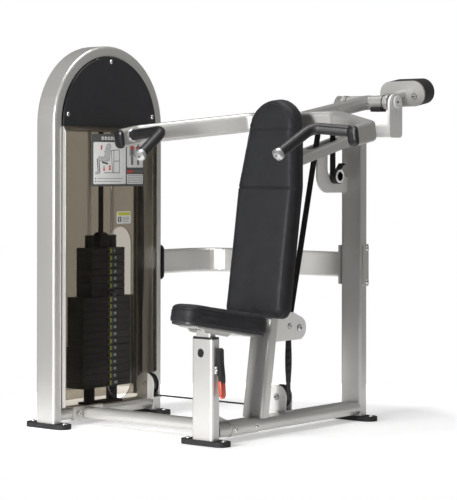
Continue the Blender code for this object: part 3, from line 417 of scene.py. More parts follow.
class Piece:
    """Collects solids with their materials into one object."""

    def __init__(self, name):
        self.name = name
        self.bm = bmesh.new()
        self.materials = []

    def index(self, material):
        if material not in self.materials:
            self.materials.append(material)
        return self.materials.index(material)

    def face(self, verts, material):
        face = self.bm.faces.new(verts)
        face.material_index = material
        face.smooth = True

    def rings(self, rings, material, caps=True, closed=False):
        """Skin over a row of rings; closed joins the last ring to the first."""
        m = self.index(material)
        made = [[self.bm.verts.new(p) for p in ring] for ring in rings]
        count = len(made[0])
        spans = len(made) if closed else len(made) - 1
        for i in range(spans):
            first = made[i]
            second = made[(i + 1) % len(made)]
            for j in range(count):
                k = (j + 1) % count
                self.face((first[j], first[k], second[k], second[j]), m)
        if caps and not closed:
            self.face(list(reversed(made[0])), m)
            self.face(made[-1], m)

    def prism(self, outline, place, length, material, edge=0.0):
        """Extruded outline with an eased front edge."""
        cx = sum(p[0] for p in outline) / len(outline)
        cy = sum(p[1] for p in outline) / len(outline)
        size = max(math.hypot(p[0] - cx, p[1] - cy) for p in outline)
        levels = [(0.0, 0.0), (length, 0.0)]
        if edge:
            levels = [(0.0, 0.0), (length - edge, 0.0), (length, edge)]
        rings = []
        for z, inset in levels:
            f = 1 - inset / size
            rings.append([place @ Vector((cx + (x - cx) * f, cy + (y - cy) * f, z))
                          for x, y in outline])
        self.rings(rings, material)

    def box(self, low, high, material):
        outline = rectangle(low[0], low[1], high[0], high[1])
        place = Matrix.Translation((0, 0, low[2]))
        self.prism(outline, place, high[2] - low[2], material)

    def turned(self, profile, centre, axis, material, steps=24, hexagon=None):
        """Profile (along, radius) turned about an axis; rings from hexagon on are six-sided."""
        axis = Vector(axis).normalized()
        side = axis.orthogonal().normalized()
        up = axis.cross(side)
        rings = []
        for i, (along, radius) in enumerate(profile):
            ring = []
            for s in range(steps):
                a = 2 * math.pi * s / steps
                r = max(radius, 1e-5)
                if hexagon and i >= hexagon:
                    sector = (a % (math.pi / 3)) - math.pi / 6
                    r = r * math.cos(math.pi / 6) / math.cos(sector)
                ring.append(centre + axis * along
                            + (side * math.cos(a) + up * math.sin(a)) * r)
            rings.append(ring)
        self.rings(rings, material)

    def bolt(self, centre, axis, r, material=ZINC):
        """Button-head socket screw of head radius r on a thin washer, with a near-black disc in its
        socket as painted shade.
        """
        self.turned([(0.0, r * 1.35), (0.0012, r * 1.35), (0.0016, r * 1.28), (0.0016, r * 0.9)],
                    centre, axis, material)
        profile = [(0.0014, r), (0.0024, r), (0.0040, r * 0.90), (0.0052, r * 0.66),
                   (0.0056, r * 0.50), (0.0056, r * 0.46), (0.0026, r * 0.44), (0.0026, 0.0)]
        self.turned(profile, centre, axis, material, 24, 5)
        # near-black disc down in the socket: painted shade
        self.turned([(0.0030, r * 0.40), (0.0050, r * 0.40), (0.0050, 0.0)],
                    centre, axis, PAINTED_SHADE, 6)

    def hex_bolt(self, centre, axis, r):
        """Hexagon head of radius r on a round washer, with a painted shadow ring round the washer
        and a near-black disc on the head as painted shade of a socket.
        """
        # near-black ring just wider than the washer: painted shadow
        self.turned([(0.0, r * 1.62), (0.0006, r * 1.62), (0.0006, r * 0.8)],
                    centre, axis, PAINTED_SHADE)
        self.turned([(0.0004, r * 1.45), (0.0018, r * 1.45), (0.0022, r * 1.38), (0.0022, r * 0.8)],
                    centre, axis, ZINC)
        self.turned([(0.0020, r * 0.95), (0.0075, r * 0.95), (0.0082, r * 0.86), (0.0082, 0.0)],
                    centre, axis, ZINC, 24, 1)
        # near-black disc on the head: painted shade of a socket
        self.turned([(0.0070, r * 0.42), (0.0085, r * 0.42), (0.0085, 0.0)],
                    centre, axis, PAINTED_SHADE, 12)

    def tube(self, path, r, material, steps):
        """Round section of radius r along a path."""
        rings = []
        for i, p in enumerate(path):
            before = path[max(i - 1, 0)]
            after = path[min(i + 1, len(path) - 1)]
            t = (after - before).normalized()
            side = t.cross(Vector((0, 0, 1)))
            side = side.normalized() if side.length > 1e-3 else t.orthogonal().normalized()
            up = side.cross(t)
            rings.append([p + (side * math.cos(a) + up * math.sin(a)) * r
                          for a in (2 * math.pi * s / steps for s in range(steps))])
        self.rings(rings, material)

    def make(self, body, slot, sharp=SHARP_ANGLE, bevel=0.0):
        """Finish the object, riding a body where one is given; the slot argument is not used."""
        bmesh.ops.recalc_face_normals(self.bm, faces=self.bm.faces)
        mesh = bpy.data.meshes.new(self.name)
        self.bm.to_mesh(mesh)
        self.bm.free()
        for material in self.materials:
            mesh.materials.append(material)
        mesh.set_sharp_from_angle(angle=math.radians(sharp))
        obj = bpy.data.objects.new(self.name, mesh)
        SCENE.collection.objects.link(obj)
        if bevel:
            bevel_edges(obj, bevel, 2)
        if body:
            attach(obj, body)
        return obj


# ---- upholstery
def soft_solid(name, rings, voxel, hold):
    """Remesh a plain solid, puff it up with a short cloth simulation and return the object.

    hold(point) is 0 for what stays put and 1 for what may move freely."""
    piece = Piece(name)
    piece.rings(rings, VINYL)
    obj = piece.make(None, "upholstery", 180)
    remesh = obj.modifiers.new("remesh", "REMESH")
    remesh.mode = "VOXEL"
    remesh.voxel_size = voxel
    remesh.use_smooth_shade = True
    bake(obj)
    rest = [v.co.copy() for v in obj.data.vertices]
    cloth = obj.modifiers.new("puff", "CLOTH")
    for key, value in CUSHION_CLOTH.items():
        setattr(cloth.settings, key, value)
    cloth.settings.effector_weights.gravity = 0.0
    cloth.point_cache.frame_start = 1
    cloth.point_cache.frame_end = CUSHION_FRAMES
    for f in range(1, CUSHION_FRAMES + 1):
        SCENE.frame_set(f)
    bake(obj)
    SCENE.frame_set(1)
    for v, start in zip(obj.data.vertices, rest):
        move = (v.co - start) * hold(start)
        if move.length > CUSHION_CAP:
            move *= CUSHION_CAP / move.length
        v.co = start + move
    smooth = obj.modifiers.new("even", "SMOOTH")
    smooth.factor = 0.5
    smooth.iterations = 2
    bake(obj)
    divide = obj.modifiers.new("divide", "SUBSURF")
    divide.levels = 1
    divide.render_levels = 1
    bake(obj)
    obj.data.shade_smooth()
    return obj


def bake(obj):
    """Apply an object's modifiers to its mesh."""
    bpy.context.view_layer.update()
    graph = bpy.context.evaluated_depsgraph_get()
    mesh = bpy.data.meshes.new_from_object(obj.evaluated_get(graph))
    obj.modifiers.clear()
    old = obj.data
    obj.data = mesh
    bpy.data.meshes.remove(old)


def dent(distance, width, depth):
    """Depth of a sewn channel at a distance from its line."""
    if abs(distance) >= width:
        return 0.0
    return depth * (0.5 + 0.5 * math.cos(math.pi * distance / width))


def seat_outline(inset):
    """Saddle shape: a narrow round nose and a wide rear."""
    nose = 0.050
    rear = 0.060
    front_y = -0.163
    back_y = 0.200
    nose_half = 0.072
    rear_half = 0.168
    points = arc((nose_half - nose, front_y + nose), nose - inset, -90, -18, 8)
    points += arc((rear_half - rear, back_y - rear), rear - inset, -18, 90, 10)
    points += arc((-(rear_half - rear), back_y - rear), rear - inset, 90, 198, 10)
    points += arc((-(nose_half - nose), front_y + nose), nose - inset, 198, 270, 8)
    return points


def build_seat_pad():
    """Saddle cushion: crowned top, side boxing sewn to the top, flat base on a board."""
    rings = []
    levels = ((0.0095, 0.004), (0.017, -0.002), (0.060, -0.002), (0.070, 0.004), (0.074, 0.014))
    for z, inset in levels:
        rings.append([seat_at(x, y, z) for x, y in seat_outline(inset)])
    tilt = Matrix.Rotation(-SEAT_TILT, 3, "X")
    level = Matrix.Rotation(SEAT_TILT, 3, "X")
    up = tilt @ Vector((0, 0, 1))
    root = seat_at(0, 0, 0)
    board_top, base_seam, top_seam, seam_width, middle_y = 0.012, 0.018, 0.058, 0.0055, 0.03

    def hold(p):
        return share((p - root).dot(up), board_top, SOFT_RAMP)

    pad = soft_solid("seat_cushion", rings, 0.005, hold)
    for v in pad.data.vertices:
        height = (v.co - root).dot(up)
        local = level @ (v.co - root)
        outward = tilt @ Vector((local.x, local.y - middle_y, 0)).normalized()
        v.co -= outward * dent(height - top_seam, seam_width, 0.0020)
        v.co -= outward * dent(height - base_seam, seam_width, 0.0016)
    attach(pad, "seat")
    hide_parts("seat_pad")
    board = Piece("seat_board")
    levels = ((0.0006, 0.009), (0.0012, 0.008), (0.0095, 0.008), (0.0105, 0.010))
    board.rings([[seat_at(x, y, z) for x, y in seat_outline(i)] for z, i in levels], BOARD)
    board.make("seat", "black_plastic")


def pad_outline(inset):
    """Outline (X, height) of the back pad."""
    corner = 0.035
    low = PAD_LOW + inset
    half = PAD_HALF - inset
    right = arc((half - corner, low + corner), corner, -90, 0, 7)
    right += [(half - 0.0005, 0.70), (half, PAD_SEAM_Z)]
    right += arc((0.0, PAD_ROUND_Z), PAD_TOP_HALF - inset, 0, 90, 14)
    left = [(-x, z) for x, z in reversed(right[:-1])]
    return right + left


def build_back_pad():
    """Long leaning cushion with cross seams, and the board it is upholstered on."""
    thickness = 0.0606
    middle_z = 0.9
    board_top, front_start, side_seam = 0.016, 0.030, 0.036

    def ring(depth, inset):
        return [at(x, lean_y(z) - thickness + depth, z) for x, z in pad_outline(inset)]

    levels = ((0.0000, 0.016), (0.0045, 0.006), (0.013, -0.003), (0.049, -0.003), (0.0525, 0.001))
    rings = [ring(d, i) for d, i in levels]
    normal = Vector((0.0, -1.0, BACK_LEAN)).normalized()
    root = at(0, lean_y(middle_z), middle_z)

    def hold(p):
        return share((p - root).dot(normal), board_top, SOFT_RAMP)

    pad = soft_solid("back_cushion", rings, 0.0055, hold)
    for v in pad.data.vertices:
        height = (v.co - root).dot(normal)
        front = share(height, front_start, 0.010)
        groove = dent(v.co.z - PAD_SEAM_Z, 0.007, 0.0042)
        groove += dent(v.co.z - PAD_TOP_SEAM_Z, 0.006, 0.0022)
        v.co -= normal * groove * front
        side = Vector((v.co.x - root.x, 0, (v.co.z - middle_z) * 0.35)).normalized()
        v.co -= side * dent(height - side_seam, 0.0055, 0.0018)
        v.co -= side * (dent(v.co.z - PAD_SEAM_Z, 0.006, 0.0016) * (1 - front))
    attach(pad, "frame")
    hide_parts("back_pad")
    board = Piece("back_board")
    levels = ((0.0530, 0.005), (0.0535, 0.0035), (0.0585, 0.0035), (0.0598, 0.006))
    board.rings([ring(d, i) for d, i in levels], BOARD)
    board.make("frame", "black_plastic")


# ---- weight tower
def shroud_x(y):
    """Outer face of the outer bowed sheet at a place across the tower."""
    t = (y - TOWER_Y) / SHROUD_HALF
    return TOWER_X + SHROUD_OUT + SHROUD_BOW * (1 - t * t)


class Print:
    """Flat printed shapes that follow the bowed sheet."""

    def __init__(self, name):
        self.piece = Piece(name)

    def patch(self, outline, lift, material):
        """Outline in (Y, Z), laid over the sheet; long edges are split to follow the bow."""
        longest = 0.012
        dense = []
        for i, (y, z) in enumerate(outline):
            y2, z2 = outline[(i + 1) % len(outline)]
            parts = max(1, int(abs(y2 - y) / longest))
            for s in range(parts):
                dense.append((y + (y2 - y) * s / parts, z + (z2 - z) * s / parts))
        rings = []
        for y in sorted({round(y, 6) for y, _ in dense}):
            heights = self.cross(dense, y)
            if heights:
                low, high = min(heights), max(heights)
                x = shroud_x(y)
                rings.append([at(x + dx, y, z) for dx, z in
                              ((0.0, low), (lift, low), (lift, high), (0.0, high))])
        if len(rings) > 1:
            self.piece.rings(rings, material)

    @staticmethod
    def cross(outline, y):
        """Heights where the outline meets a vertical line."""
        found = []
        for i, (y1, z1) in enumerate(outline):
            y2, z2 = outline[(i + 1) % len(outline)]
            if abs(y1 - y) < 1e-7:
                found.append(z1)
            if (y1 - y) * (y2 - y) < 0:
                found.append(z1 + (z2 - z1) * (y - y1) / (y2 - y1))
        return found

    def rect(self, y0, y1, z0, z1, lift, material, corner=0.0):
        if corner:
            outline = rounded_rect(y1 - y0, z1 - z0, corner, 4)
            outline = [(y + (y0 + y1) / 2, z + (z0 + z1) / 2) for y, z in outline]
        else:
            outline = [(y0, z0), (y1, z0), (y1, z1), (y0, z1)]
        self.patch(outline, lift, material)

    def line(self, start, end, width, lift, material):
        d = Vector((end[0] - start[0], end[1] - start[1]))
        n = Vector((-d.y, d.x)).normalized() * width / 2
        outline = [(start[0] + n.x, start[1] + n.y), (start[0] - n.x, start[1] - n.y),
                   (end[0] - n.x, end[1] - n.y), (end[0] + n.x, end[1] + n.y)]
        self.patch(outline, lift, material)

    def disc(self, centre, radius, lift, material):
        self.patch(arc(centre, radius, 0, 345, 23), lift, material)


PRINT_LIFTS = (0.0004, 0.0007, 0.0010)  # backing, panels and shapes, off the sheet


def build_placard():
    """Instruction placard with generic panels: a seated figure, a front and back figure."""
    p = Print("placard")
    y0, y1, z0, z1 = 0.1320, 0.4470, 0.9805, 1.1965
    a, b, c = PRINT_LIFTS
    d = c + 0.0002
    p.rect(y0, y1, z0, z1, a, PRINT_GREY, 0.006)
    # title strip: plain bars
    for i in range(8):
        y = y0 + 0.050 + i * 0.0165
        p.rect(y, y + 0.0105, z1 - 0.0245, z1 - 0.0115, b, PRINT_WHITE)
        p.rect(y + 0.003, y + 0.0075, z1 - 0.0205, z1 - 0.0155, c, PRINT_GREY)
    # large panel with a seated figure and a machine outline
    left, right, low, high = y0 + 0.008, y0 + 0.190, z0 + 0.009, z1 - 0.034
    p.rect(left, right, low, high, b, PRINT_WHITE, 0.005)

    def on(u, v):
        return (left + u * (right - left), low + v * (high - low))

    limbs = ((0.42, 0.82, 0.38, 0.56, 0.030), (0.42, 0.59, 0.13, 0.60, 0.019),
             (0.13, 0.61, 0.15, 0.29, 0.014), (0.19, 0.275, 0.05, 0.265, 0.010),
             (0.38, 0.78, 0.32, 0.80, 0.012), (0.32, 0.79, 0.40, 0.90, 0.008))
    for grow, lift, look in ((0.0, c, PRINT_MID), (-0.0036, d, PRINT_LIGHT)):
        p.disc(on(0.44, 0.895), 0.0130 + grow / 2, lift, look)
        for u0, v0, u1, v1, width in limbs:
            p.line(on(u0, v0), on(u1, v1), width + grow, lift, look)
    frame_lines = ((0.50, 0.80, 0.78, 0.82), (0.52, 0.80, 0.56, 0.28), (0.60, 0.82, 0.60, 0.26),
                   (0.78, 0.82, 0.78, 0.26), (0.60, 0.55, 0.78, 0.55), (0.30, 0.27, 0.80, 0.27))
    for u0, v0, u1, v1 in frame_lines:
        p.line(on(u0, v0), on(u1, v1), 0.0028, c, PRINT_MID)
    p.line(on(0.24, 0.52), on(0.42, 0.485), 0.0065, c, PRINT_BLACK)
    p.line(on(0.30, 0.44), on(0.30, 0.35), 0.0035, c, PRINT_BLACK)
    for u, v in ((0.475, 0.42), (0.475, 0.36), (0.30, 0.345)):
        p.disc(on(u, v), 0.0052, c, PRINT_RED)
    p.line(on(0.225, 0.90), on(0.225, 0.84), 0.0060, c, PRINT_RED)
    p.patch([on(0.195, 0.895), on(0.255, 0.895), on(0.225, 0.935)], c, PRINT_RED)
    p.patch([on(0.195, 0.85), on(0.225, 0.81), on(0.255, 0.85)], c, PRINT_RED)
    for v, end in ((0.135, 0.92), (0.065, 0.84)):
        p.disc(on(0.06, v), 0.0030, c, PRINT_BLACK)
        for i in range(int((end - 0.12) / 0.065)):
            u = 0.12 + i * 0.065
            p.line(on(u, v), on(u + 0.050, v), 0.0024, c, PRINT_MID)
    # upper right panel: front and back figures
    left, right, low, high = y0 + 0.198, y1 - 0.004, z0 + 0.078, z1 - 0.034
    p.rect(left, right, low, high, b, PRINT_WHITE, 0.005)
    for u in (0.30, 0.68):
        p.disc(on(u, 0.90), 0.0065, c, PRINT_MID)
        p.line(on(u, 0.86), on(u, 0.52), 0.0210, c, PRINT_MID)
        for top, foot, v0, v1, width in ((0.05, 0.03, 0.52, 0.10, 0.0075),
                                         (0.13, 0.14, 0.82, 0.46, 0.0055)):
            for k in (-1, 1):
                p.line(on(u + k * top, v0), on(u + k * foot, v1), width, c, PRINT_MID)
    p.patch([on(0.18, 0.86), on(0.42, 0.86), on(0.38, 0.74), on(0.30, 0.71), on(0.22, 0.74)],
            d, PRINT_RED)
    for k in (-1, 1):
        p.line(on(0.68 + k * 0.12, 0.84), on(0.68 + k * 0.08, 0.76), 0.0085, d, PRINT_RED)
    # strip between the panels
    p.rect(left + 0.002, left + 0.038, z0 + 0.057, z0 + 0.066, b, PRINT_RED)
    for i in range(5):
        y = left + 0.044 + i * 0.014
        p.rect(y, y + 0.010, z0 + 0.058, z0 + 0.065, b, PRINT_MID)
    # table with plain bars
    p.rect(left, right, z0 + 0.009, z0 + 0.050, b, PRINT_WHITE, 0.003)
    for row in range(4):
        for col in range(6):
            y = left + 0.006 + col * 0.0175
            z = z0 + 0.0145 + row * 0.0092
            p.rect(y, y + 0.0125, z, z + 0.0030, c, PRINT_MID)
    p.piece.make("frame", "tinted_panel", 20)


def build_sticker():
    """Small caution sticker: a yellow bar, a mark and plain lines."""
    a, b, c = PRINT_LIFTS
    s = Print("caution_sticker")
    y0, y1, z0, z1 = 0.2680, 0.3560, 0.8250, 0.8760
    s.rect(y0, y1, z0, z1, a, PRINT_WHITE, 0.006)
    s.rect(y0 + 0.004, y1 - 0.004, z1 - 0.0170, z1 - 0.0040, b, PRINT_YELLOW, 0.002)
    s.rect(y0 + 0.006, y0 + 0.026, z0 + 0.0060, z0 + 0.0290, b, PRINT_BLACK, 0.003)
    s.disc((y0 + 0.016, z0 + 0.0220), 0.0036, c, PRINT_WHITE)
    s.line((y0 + 0.016, z0 + 0.0190), (y0 + 0.016, z0 + 0.0090), 0.0042, c, PRINT_WHITE)
    for i in range(4):
        z = z0 + 0.0080 + i * 0.0058
        s.rect(y0 + 0.031, y1 - 0.008 - 0.006 * (i % 2), z, z + 0.0020, b, PRINT_MID)
    s.piece.make("frame", "tinted_panel", 20)


def build_tower():
    """Edge rails of the shrouds, and the screws and the black lip of the round covers."""
    for side, label in ((1, "outer"), (-1, "inner")):
        rails = Piece(f"{label}_shroud_rails")
        x_root = TOWER_X + side * 0.040
        x_face = TOWER_X + side * 0.0685
        x_top = x_face - side * 0.012
        for edge in (-1, 1):
            z_low = 0.083 if edge < 0 or side < 0 else 0.188
            outline = [(x_root, z_low), (x_face, z_low), (x_face, 1.205),
                       (x_top, SHROUD_TOP), (x_root, SHROUD_TOP)]
            rings = [[at(x, TOWER_Y + edge * half, z) for x, z in outline]
                     for half in (0.2782, 0.2805)]
            rails.rings(rings, SILVER)
        rails.make("frame", "silver_paint", bevel=0.0006)
        screws = Piece(f"{label}_cover_screws")
        for y, z in ((0.0335, 1.275), (0.5465, 1.275), (0.290, 1.500)):
            screws.bolt(at(TOWER_X + side * 0.058, y, z), (side, 0, 0), 0.0075, CHROME)
        screws.make("frame", "chrome")
        lip = Piece(f"{label}_cover_lip")
        path = [at(TOWER_X + side * 0.0545, y, z) for y, z in
                arc((TOWER_Y, COVER_CENTRE_Z), COVER_RADIUS, 0, 180, 40)]
        lip.tube(path, 0.0022, BLACK_PLASTIC, 10)
        lip.make("frame", "dark_panel")


def build_brace_flange():
    """Plate between the tower's rear leg and the side brace."""
    flange = Piece("brace_flange")
    outline = rounded_rect(0.046, 0.150, 0.0225, 8)
    place = axes(at(TOWER_X + 0.0365, 0.6265, BRACE_Z), (1, 0, 0), (0, 0, 1))
    flange.prism(outline, place, 0.0075, BLACK_PLASTIC, 0.001)
    flange.make("frame", "black_plastic")


def build_feet():
    """Two bolts through each foot."""
    bolts = Piece("foot_bolts")
    for x, y in ((TOWER_X, -0.015), (TOWER_X, 0.595), (0.0, POST_Y), (0.0, 0.9931)):
        for dx in (-0.088, 0.088):
            bolts.bolt(at(x + dx, y, 0.0192), (0, 0, 1), 0.0085)
    bolts.make("frame", "chrome")


def on_plates(x):
    """Local X along the plates, local Y up, on the plane at x."""
    return Matrix.Translation(SHIFT + Vector((x, 0, 0))) @ FACING_X


def rectangle(low_x, low_y, high_x, high_y):
    return [(low_x, low_y), (high_x, low_y), (high_x, high_y), (low_x, high_y)]


def build_stack_labels():
    """Numbered strips and pin holes on every plate, one object per moving group."""
    x = TOWER_X + 0.045
    lifted = Piece("stack_labels_lifted")
    fixed = Piece("stack_labels_fixed")
    strips = ((0.3005, 0.3640, 0.0105, 0.0004, PRINT_BLACK),
              (0.3020, 0.3070, 0.0088, 0.0008, PRINT_YELLOW),
              (0.3115, 0.3150, 0.0080, 0.0008, PRINT_GREEN))
    for i in range(PLATES):
        target = lifted if i >= FIRST_LIFTED else fixed
        z = STACK_BOTTOM + i * PLATE_PITCH + LABEL_Z
        for y0, y1, half, lift, look in strips:
            target.prism(rectangle(y0, z - half, y1, z + half), on_plates(x), lift, look)
        weight = 5 * (PLATES - i)
        number(target, str(weight), x + 0.0004, 0.3235, z, 0.0110)
        if i < PLATES - 1:
            # pin holes: near-black disc inside a black-steel ring, the disc painted shade of the
            # hole
            for radius, lift, look in ((0.0095, 0.0007, BLACK_STEEL), (0.0056, 0.0010, PAINTED_SHADE)):
                circle = arc((TOWER_Y, z), radius, 0, 345, 23)
                target.prism(circle, on_plates(x - 0.0001), lift, look)
    lifted.make("stack", "black_steel", 20)
    fixed.make("frame", "black_steel", 20)


# Strokes of each figure: a top, b and c right, d bottom, e and f left, g middle.
SEGMENTS = {
    "0": "abcdef", "1": "bc", "2": "abged", "3": "abgcd", "4": "fgbc", "5": "afgcd",
    "6": "afgedc", "7": "abc", "8": "abcdefg", "9": "abcdfg",
}


def number(target, text, x, y, z, height):
    """Plain stroke figures, laid on a plate's face and read from +X."""
    width = height * 0.52
    stroke = height * 0.17
    h = height / 2
    spots = {
        "a": (0, h - stroke, width, h), "g": (0, -stroke / 2, width, stroke / 2),
        "d": (0, -h, width, -h + stroke), "f": (0, 0, stroke, h), "e": (0, -h, stroke, 0),
        "b": (width - stroke, 0, width, h), "c": (width - stroke, -h, width, 0),
    }
    for n, digit in enumerate(text):
        left = y + n * (width + height * 0.22)
        for k, key in enumerate(SEGMENTS[digit]):
            y0, z0, y1, z1 = spots[key]
            outline = rectangle(left + y0, z + z0, left + y1, z + z1)
            target.prism(outline, on_plates(x), 0.0004 + 0.00002 * k, PRINT_LIGHT)


# ---- arm, seat and frame trim
def build_grips():
    """Chrome ring at the yoke and machined end cap on each grip."""
    for side, label in ((1, "left"), (-1, "right")):
        trim = Piece(f"{label}_grip_chrome")
        root = at(side * 0.5600, 0.2230, 1.1900)
        axis = Vector((-side, -0.12, 0.08)).normalized()
        profile = [(-0.002, 0.0245), (0.0030, 0.0262), (0.0062, 0.0262), (0.0082, 0.0246),
                   (0.0084, 0.0222)]
        trim.turned(profile, root, axis, CHROME, 40)
        tip = Vector((side * 0.3430, 0.0290, 1.1060))
        bend = Vector((side * 0.3730, 0.1980, 1.2070))
        end = at(*tip)
        path = (tip - bend).normalized()
        profile = [(-0.0080, 0.0216), (-0.0078, 0.0232), (0.0000, 0.0236), (0.0060, 0.0232),
                   (0.0095, 0.0210), (0.0115, 0.0160), (0.0120, 0.0090), (0.0120, 0.0)]
        trim.turned(profile, end, path, GRIP_CAP, 40)
        trim.turned([(0.0116, 0.0050), (0.0128, 0.0050), (0.0128, 0.0)],
                    end, path, PRINT_GREY, 12)
        trim.make("arm", "chrome")


def build_arm_trim():
    """Side ribs of the beam, collars on the pivot tube and the arm's bolts."""
    ribs = Piece("beam_ribs")
    for side in (-1, 1):
        for z0, z1, out in ((-0.0085, 0.0120, 0.0030), (-0.0245, -0.0135, 0.0022)):
            low = side * 0.0215
            high = side * (0.0225 + out)
            section = ((low, z0), (high, z0 + 0.002), (high, z1 - 0.002), (low, z1))
            ribs.rings([[arm_at(x, y, z) for x, z in section] for y in (-0.040, -0.235)], SILVER)
    ribs.make("arm", "silver_paint", bevel=0.0008)
    collars = Piece("pivot_collars")
    for side in (-1, 1):
        x = 0.1065 if side > 0 else -0.1065 - 0.012
        collars.turned([(0, 0.024), (0, 0.0325), (0.006, 0.0335), (0.012, 0.0325), (0.012, 0.0132)],
                       at(x, PIVOT.y, PIVOT.z), (1, 0, 0), SILVER, 40)
        collars.turned([(0, 0.0305), (0.0016, 0.0318), (0.0034, 0.0318), (0.005, 0.0305)],
                       at(side * 0.094 - 0.0025, PIVOT.y, PIVOT.z), (1, 0, 0), BLACK_PLASTIC, 40)
    collars.make("arm", "silver_paint")
    bolts = Piece("arm_bolts")
    toward_user = arm_at(0, 0, 0) - arm_at(0, 1, 0)
    bolts.hex_bolt(arm_at(0.062, 0.2698, -0.012), toward_user, 0.0085)
    for side in (-1, 1):
        bolts.hex_bolt(arm_at(side * 0.0268, -0.3005, -0.0369), (side, 0, 0), 0.0080)
    bolts.make("arm", "chrome")


def build_frame_bolts():
    """Bolts of the frame tubes and brackets, and the machined faces of the pivot shaft."""
    bolts = Piece("frame_bolts")
    for y in (0.142, 0.268):
        bolts.bolt(at(0.0535, y, BASE_BOLT_Z), (1, 0, 0), 0.0080)
    bolts.hex_bolt(at(TOWER_X + 0.0508, CROSSBAR_BOLT_Y, BASE_BOLT_Z), (1, 0, 0), 0.0075)
    for z in (BRACE_Z - 0.070, BRACE_Z + 0.070):
        bolts.bolt(at(0.0580, 1.0045, z), (1, 0, 0), 0.0090)
    for side in (-1, 1):
        bolts.hex_bolt(at(side * 0.0247, 0.580, 0.412), (side, 0, 0), 0.0090)
        bolts.hex_bolt(at(side * 0.0247, 0.515, 0.424), (side, 0, 0), 0.0070)
        for x in (-0.0448, TOWER_X + 0.0448):
            bolts.hex_bolt(at(x, 0.540 + side * 0.0211, 0.134), (0, side, 0), 0.0085)
    for side in (-1, 1):
        face = at(side * 0.1571, PIVOT.y, PIVOT.z)
        axis = (side, 0, 0)
        bolts.turned([(0.0, 0.0280), (0.0012, 0.0280), (0.0020, 0.0265), (0.0014, 0.0120),
                      (0.0014, 0.0)], face, axis, MACHINED, 36)
        for n in range(6):
            a = n * math.pi / 3
            spot = face + Vector((0, math.cos(a), math.sin(a))) * 0.0185
            bolts.turned([(0.0, 0.0020), (0.0020, 0.0020), (0.0020, 0.0)],
                         spot, axis, PRINT_MID, 10)
        bolts.turned([(0.0, 0.0058), (0.0034, 0.0058), (0.0042, 0.0046), (0.0042, 0.0)],
                     face, axis, PRINT_GREY, 6)
    bolts.make("frame", "chrome")


def build_clamp_and_stop():
    """Plate that clamps the brace to the rear upright, and a black block under the pivot."""
    clamp = Piece("brace_clamp")
    outline = [(y + 0.998, z + BRACE_Z) for y, z in rounded_rect(0.040, 0.176, 0.006, 5)]
    place = axes(at(0.0523, 0, 0), (0, 1, 0), (0, 0, 1))
    clamp.prism(outline, place, 0.0055, SILVER, 0.001)
    clamp.make("frame", "silver_paint")
    black_block = Piece("pivot_black_block")
    black_block.box(at(0.040, 1.052, 1.2960), at(0.090, 1.100, 1.3150), BLACK_PLASTIC)
    black_block.make("arm", "black_plastic", bevel=0.002)


def build_anchor_trim():
    """Painted shade in the anchor tube's end as a near-black disc, the tube's rim, and the belt
    that wraps under it.
    """
    centre = at(0.0146, ANCHOR_Y, ANCHOR_Z)
    # near-black disc set into the tube's end: painted shade of its open end
    end_shade = Piece("anchor_end_shade")
    end_shade.turned([(0.0, 0.0195), (0.0026, 0.0195), (0.0030, 0.0185), (0.0030, 0.0)],
                centre, (1, 0, 0), PAINTED_SHADE, 32)
    end_shade.make("frame", "black_plastic")
    rim = Piece("anchor_rim")
    rim.turned([(0.0, 0.0198), (0.0, 0.0276), (0.0040, 0.0276), (0.0050, 0.0262),
                (0.0050, 0.0212), (0.0030, 0.0198)], centre, (1, 0, 0), MACHINED, 36)
    rim.make("frame", "silver_paint")
    wrap = Piece("belt_wrap")
    section = rectangle(-0.0135, 0.0274, 0.0135, 0.0312)
    rings = []
    for a in range(95, 331, 9):
        c, s = math.cos(math.radians(a)), math.sin(math.radians(a))
        rings.append([at(x, ANCHOR_Y + c * r, ANCHOR_Z + s * r) for x, r in section])
    wrap.rings(rings, BELT)
    wrap.make("frame", "belt")
    tail = Piece("belt_tail")
    side = [(0.8745, 1.0515), (0.8800, 1.0475), (0.9020, 1.0720), (0.9130, 1.0700),
            (0.9130, 1.0740), (0.9000, 1.0780)]
    tail.rings([[at(x, y, z) for y, z in side] for x in (-0.0130, 0.0130)], BELT)
    tail.make("frame", "belt")


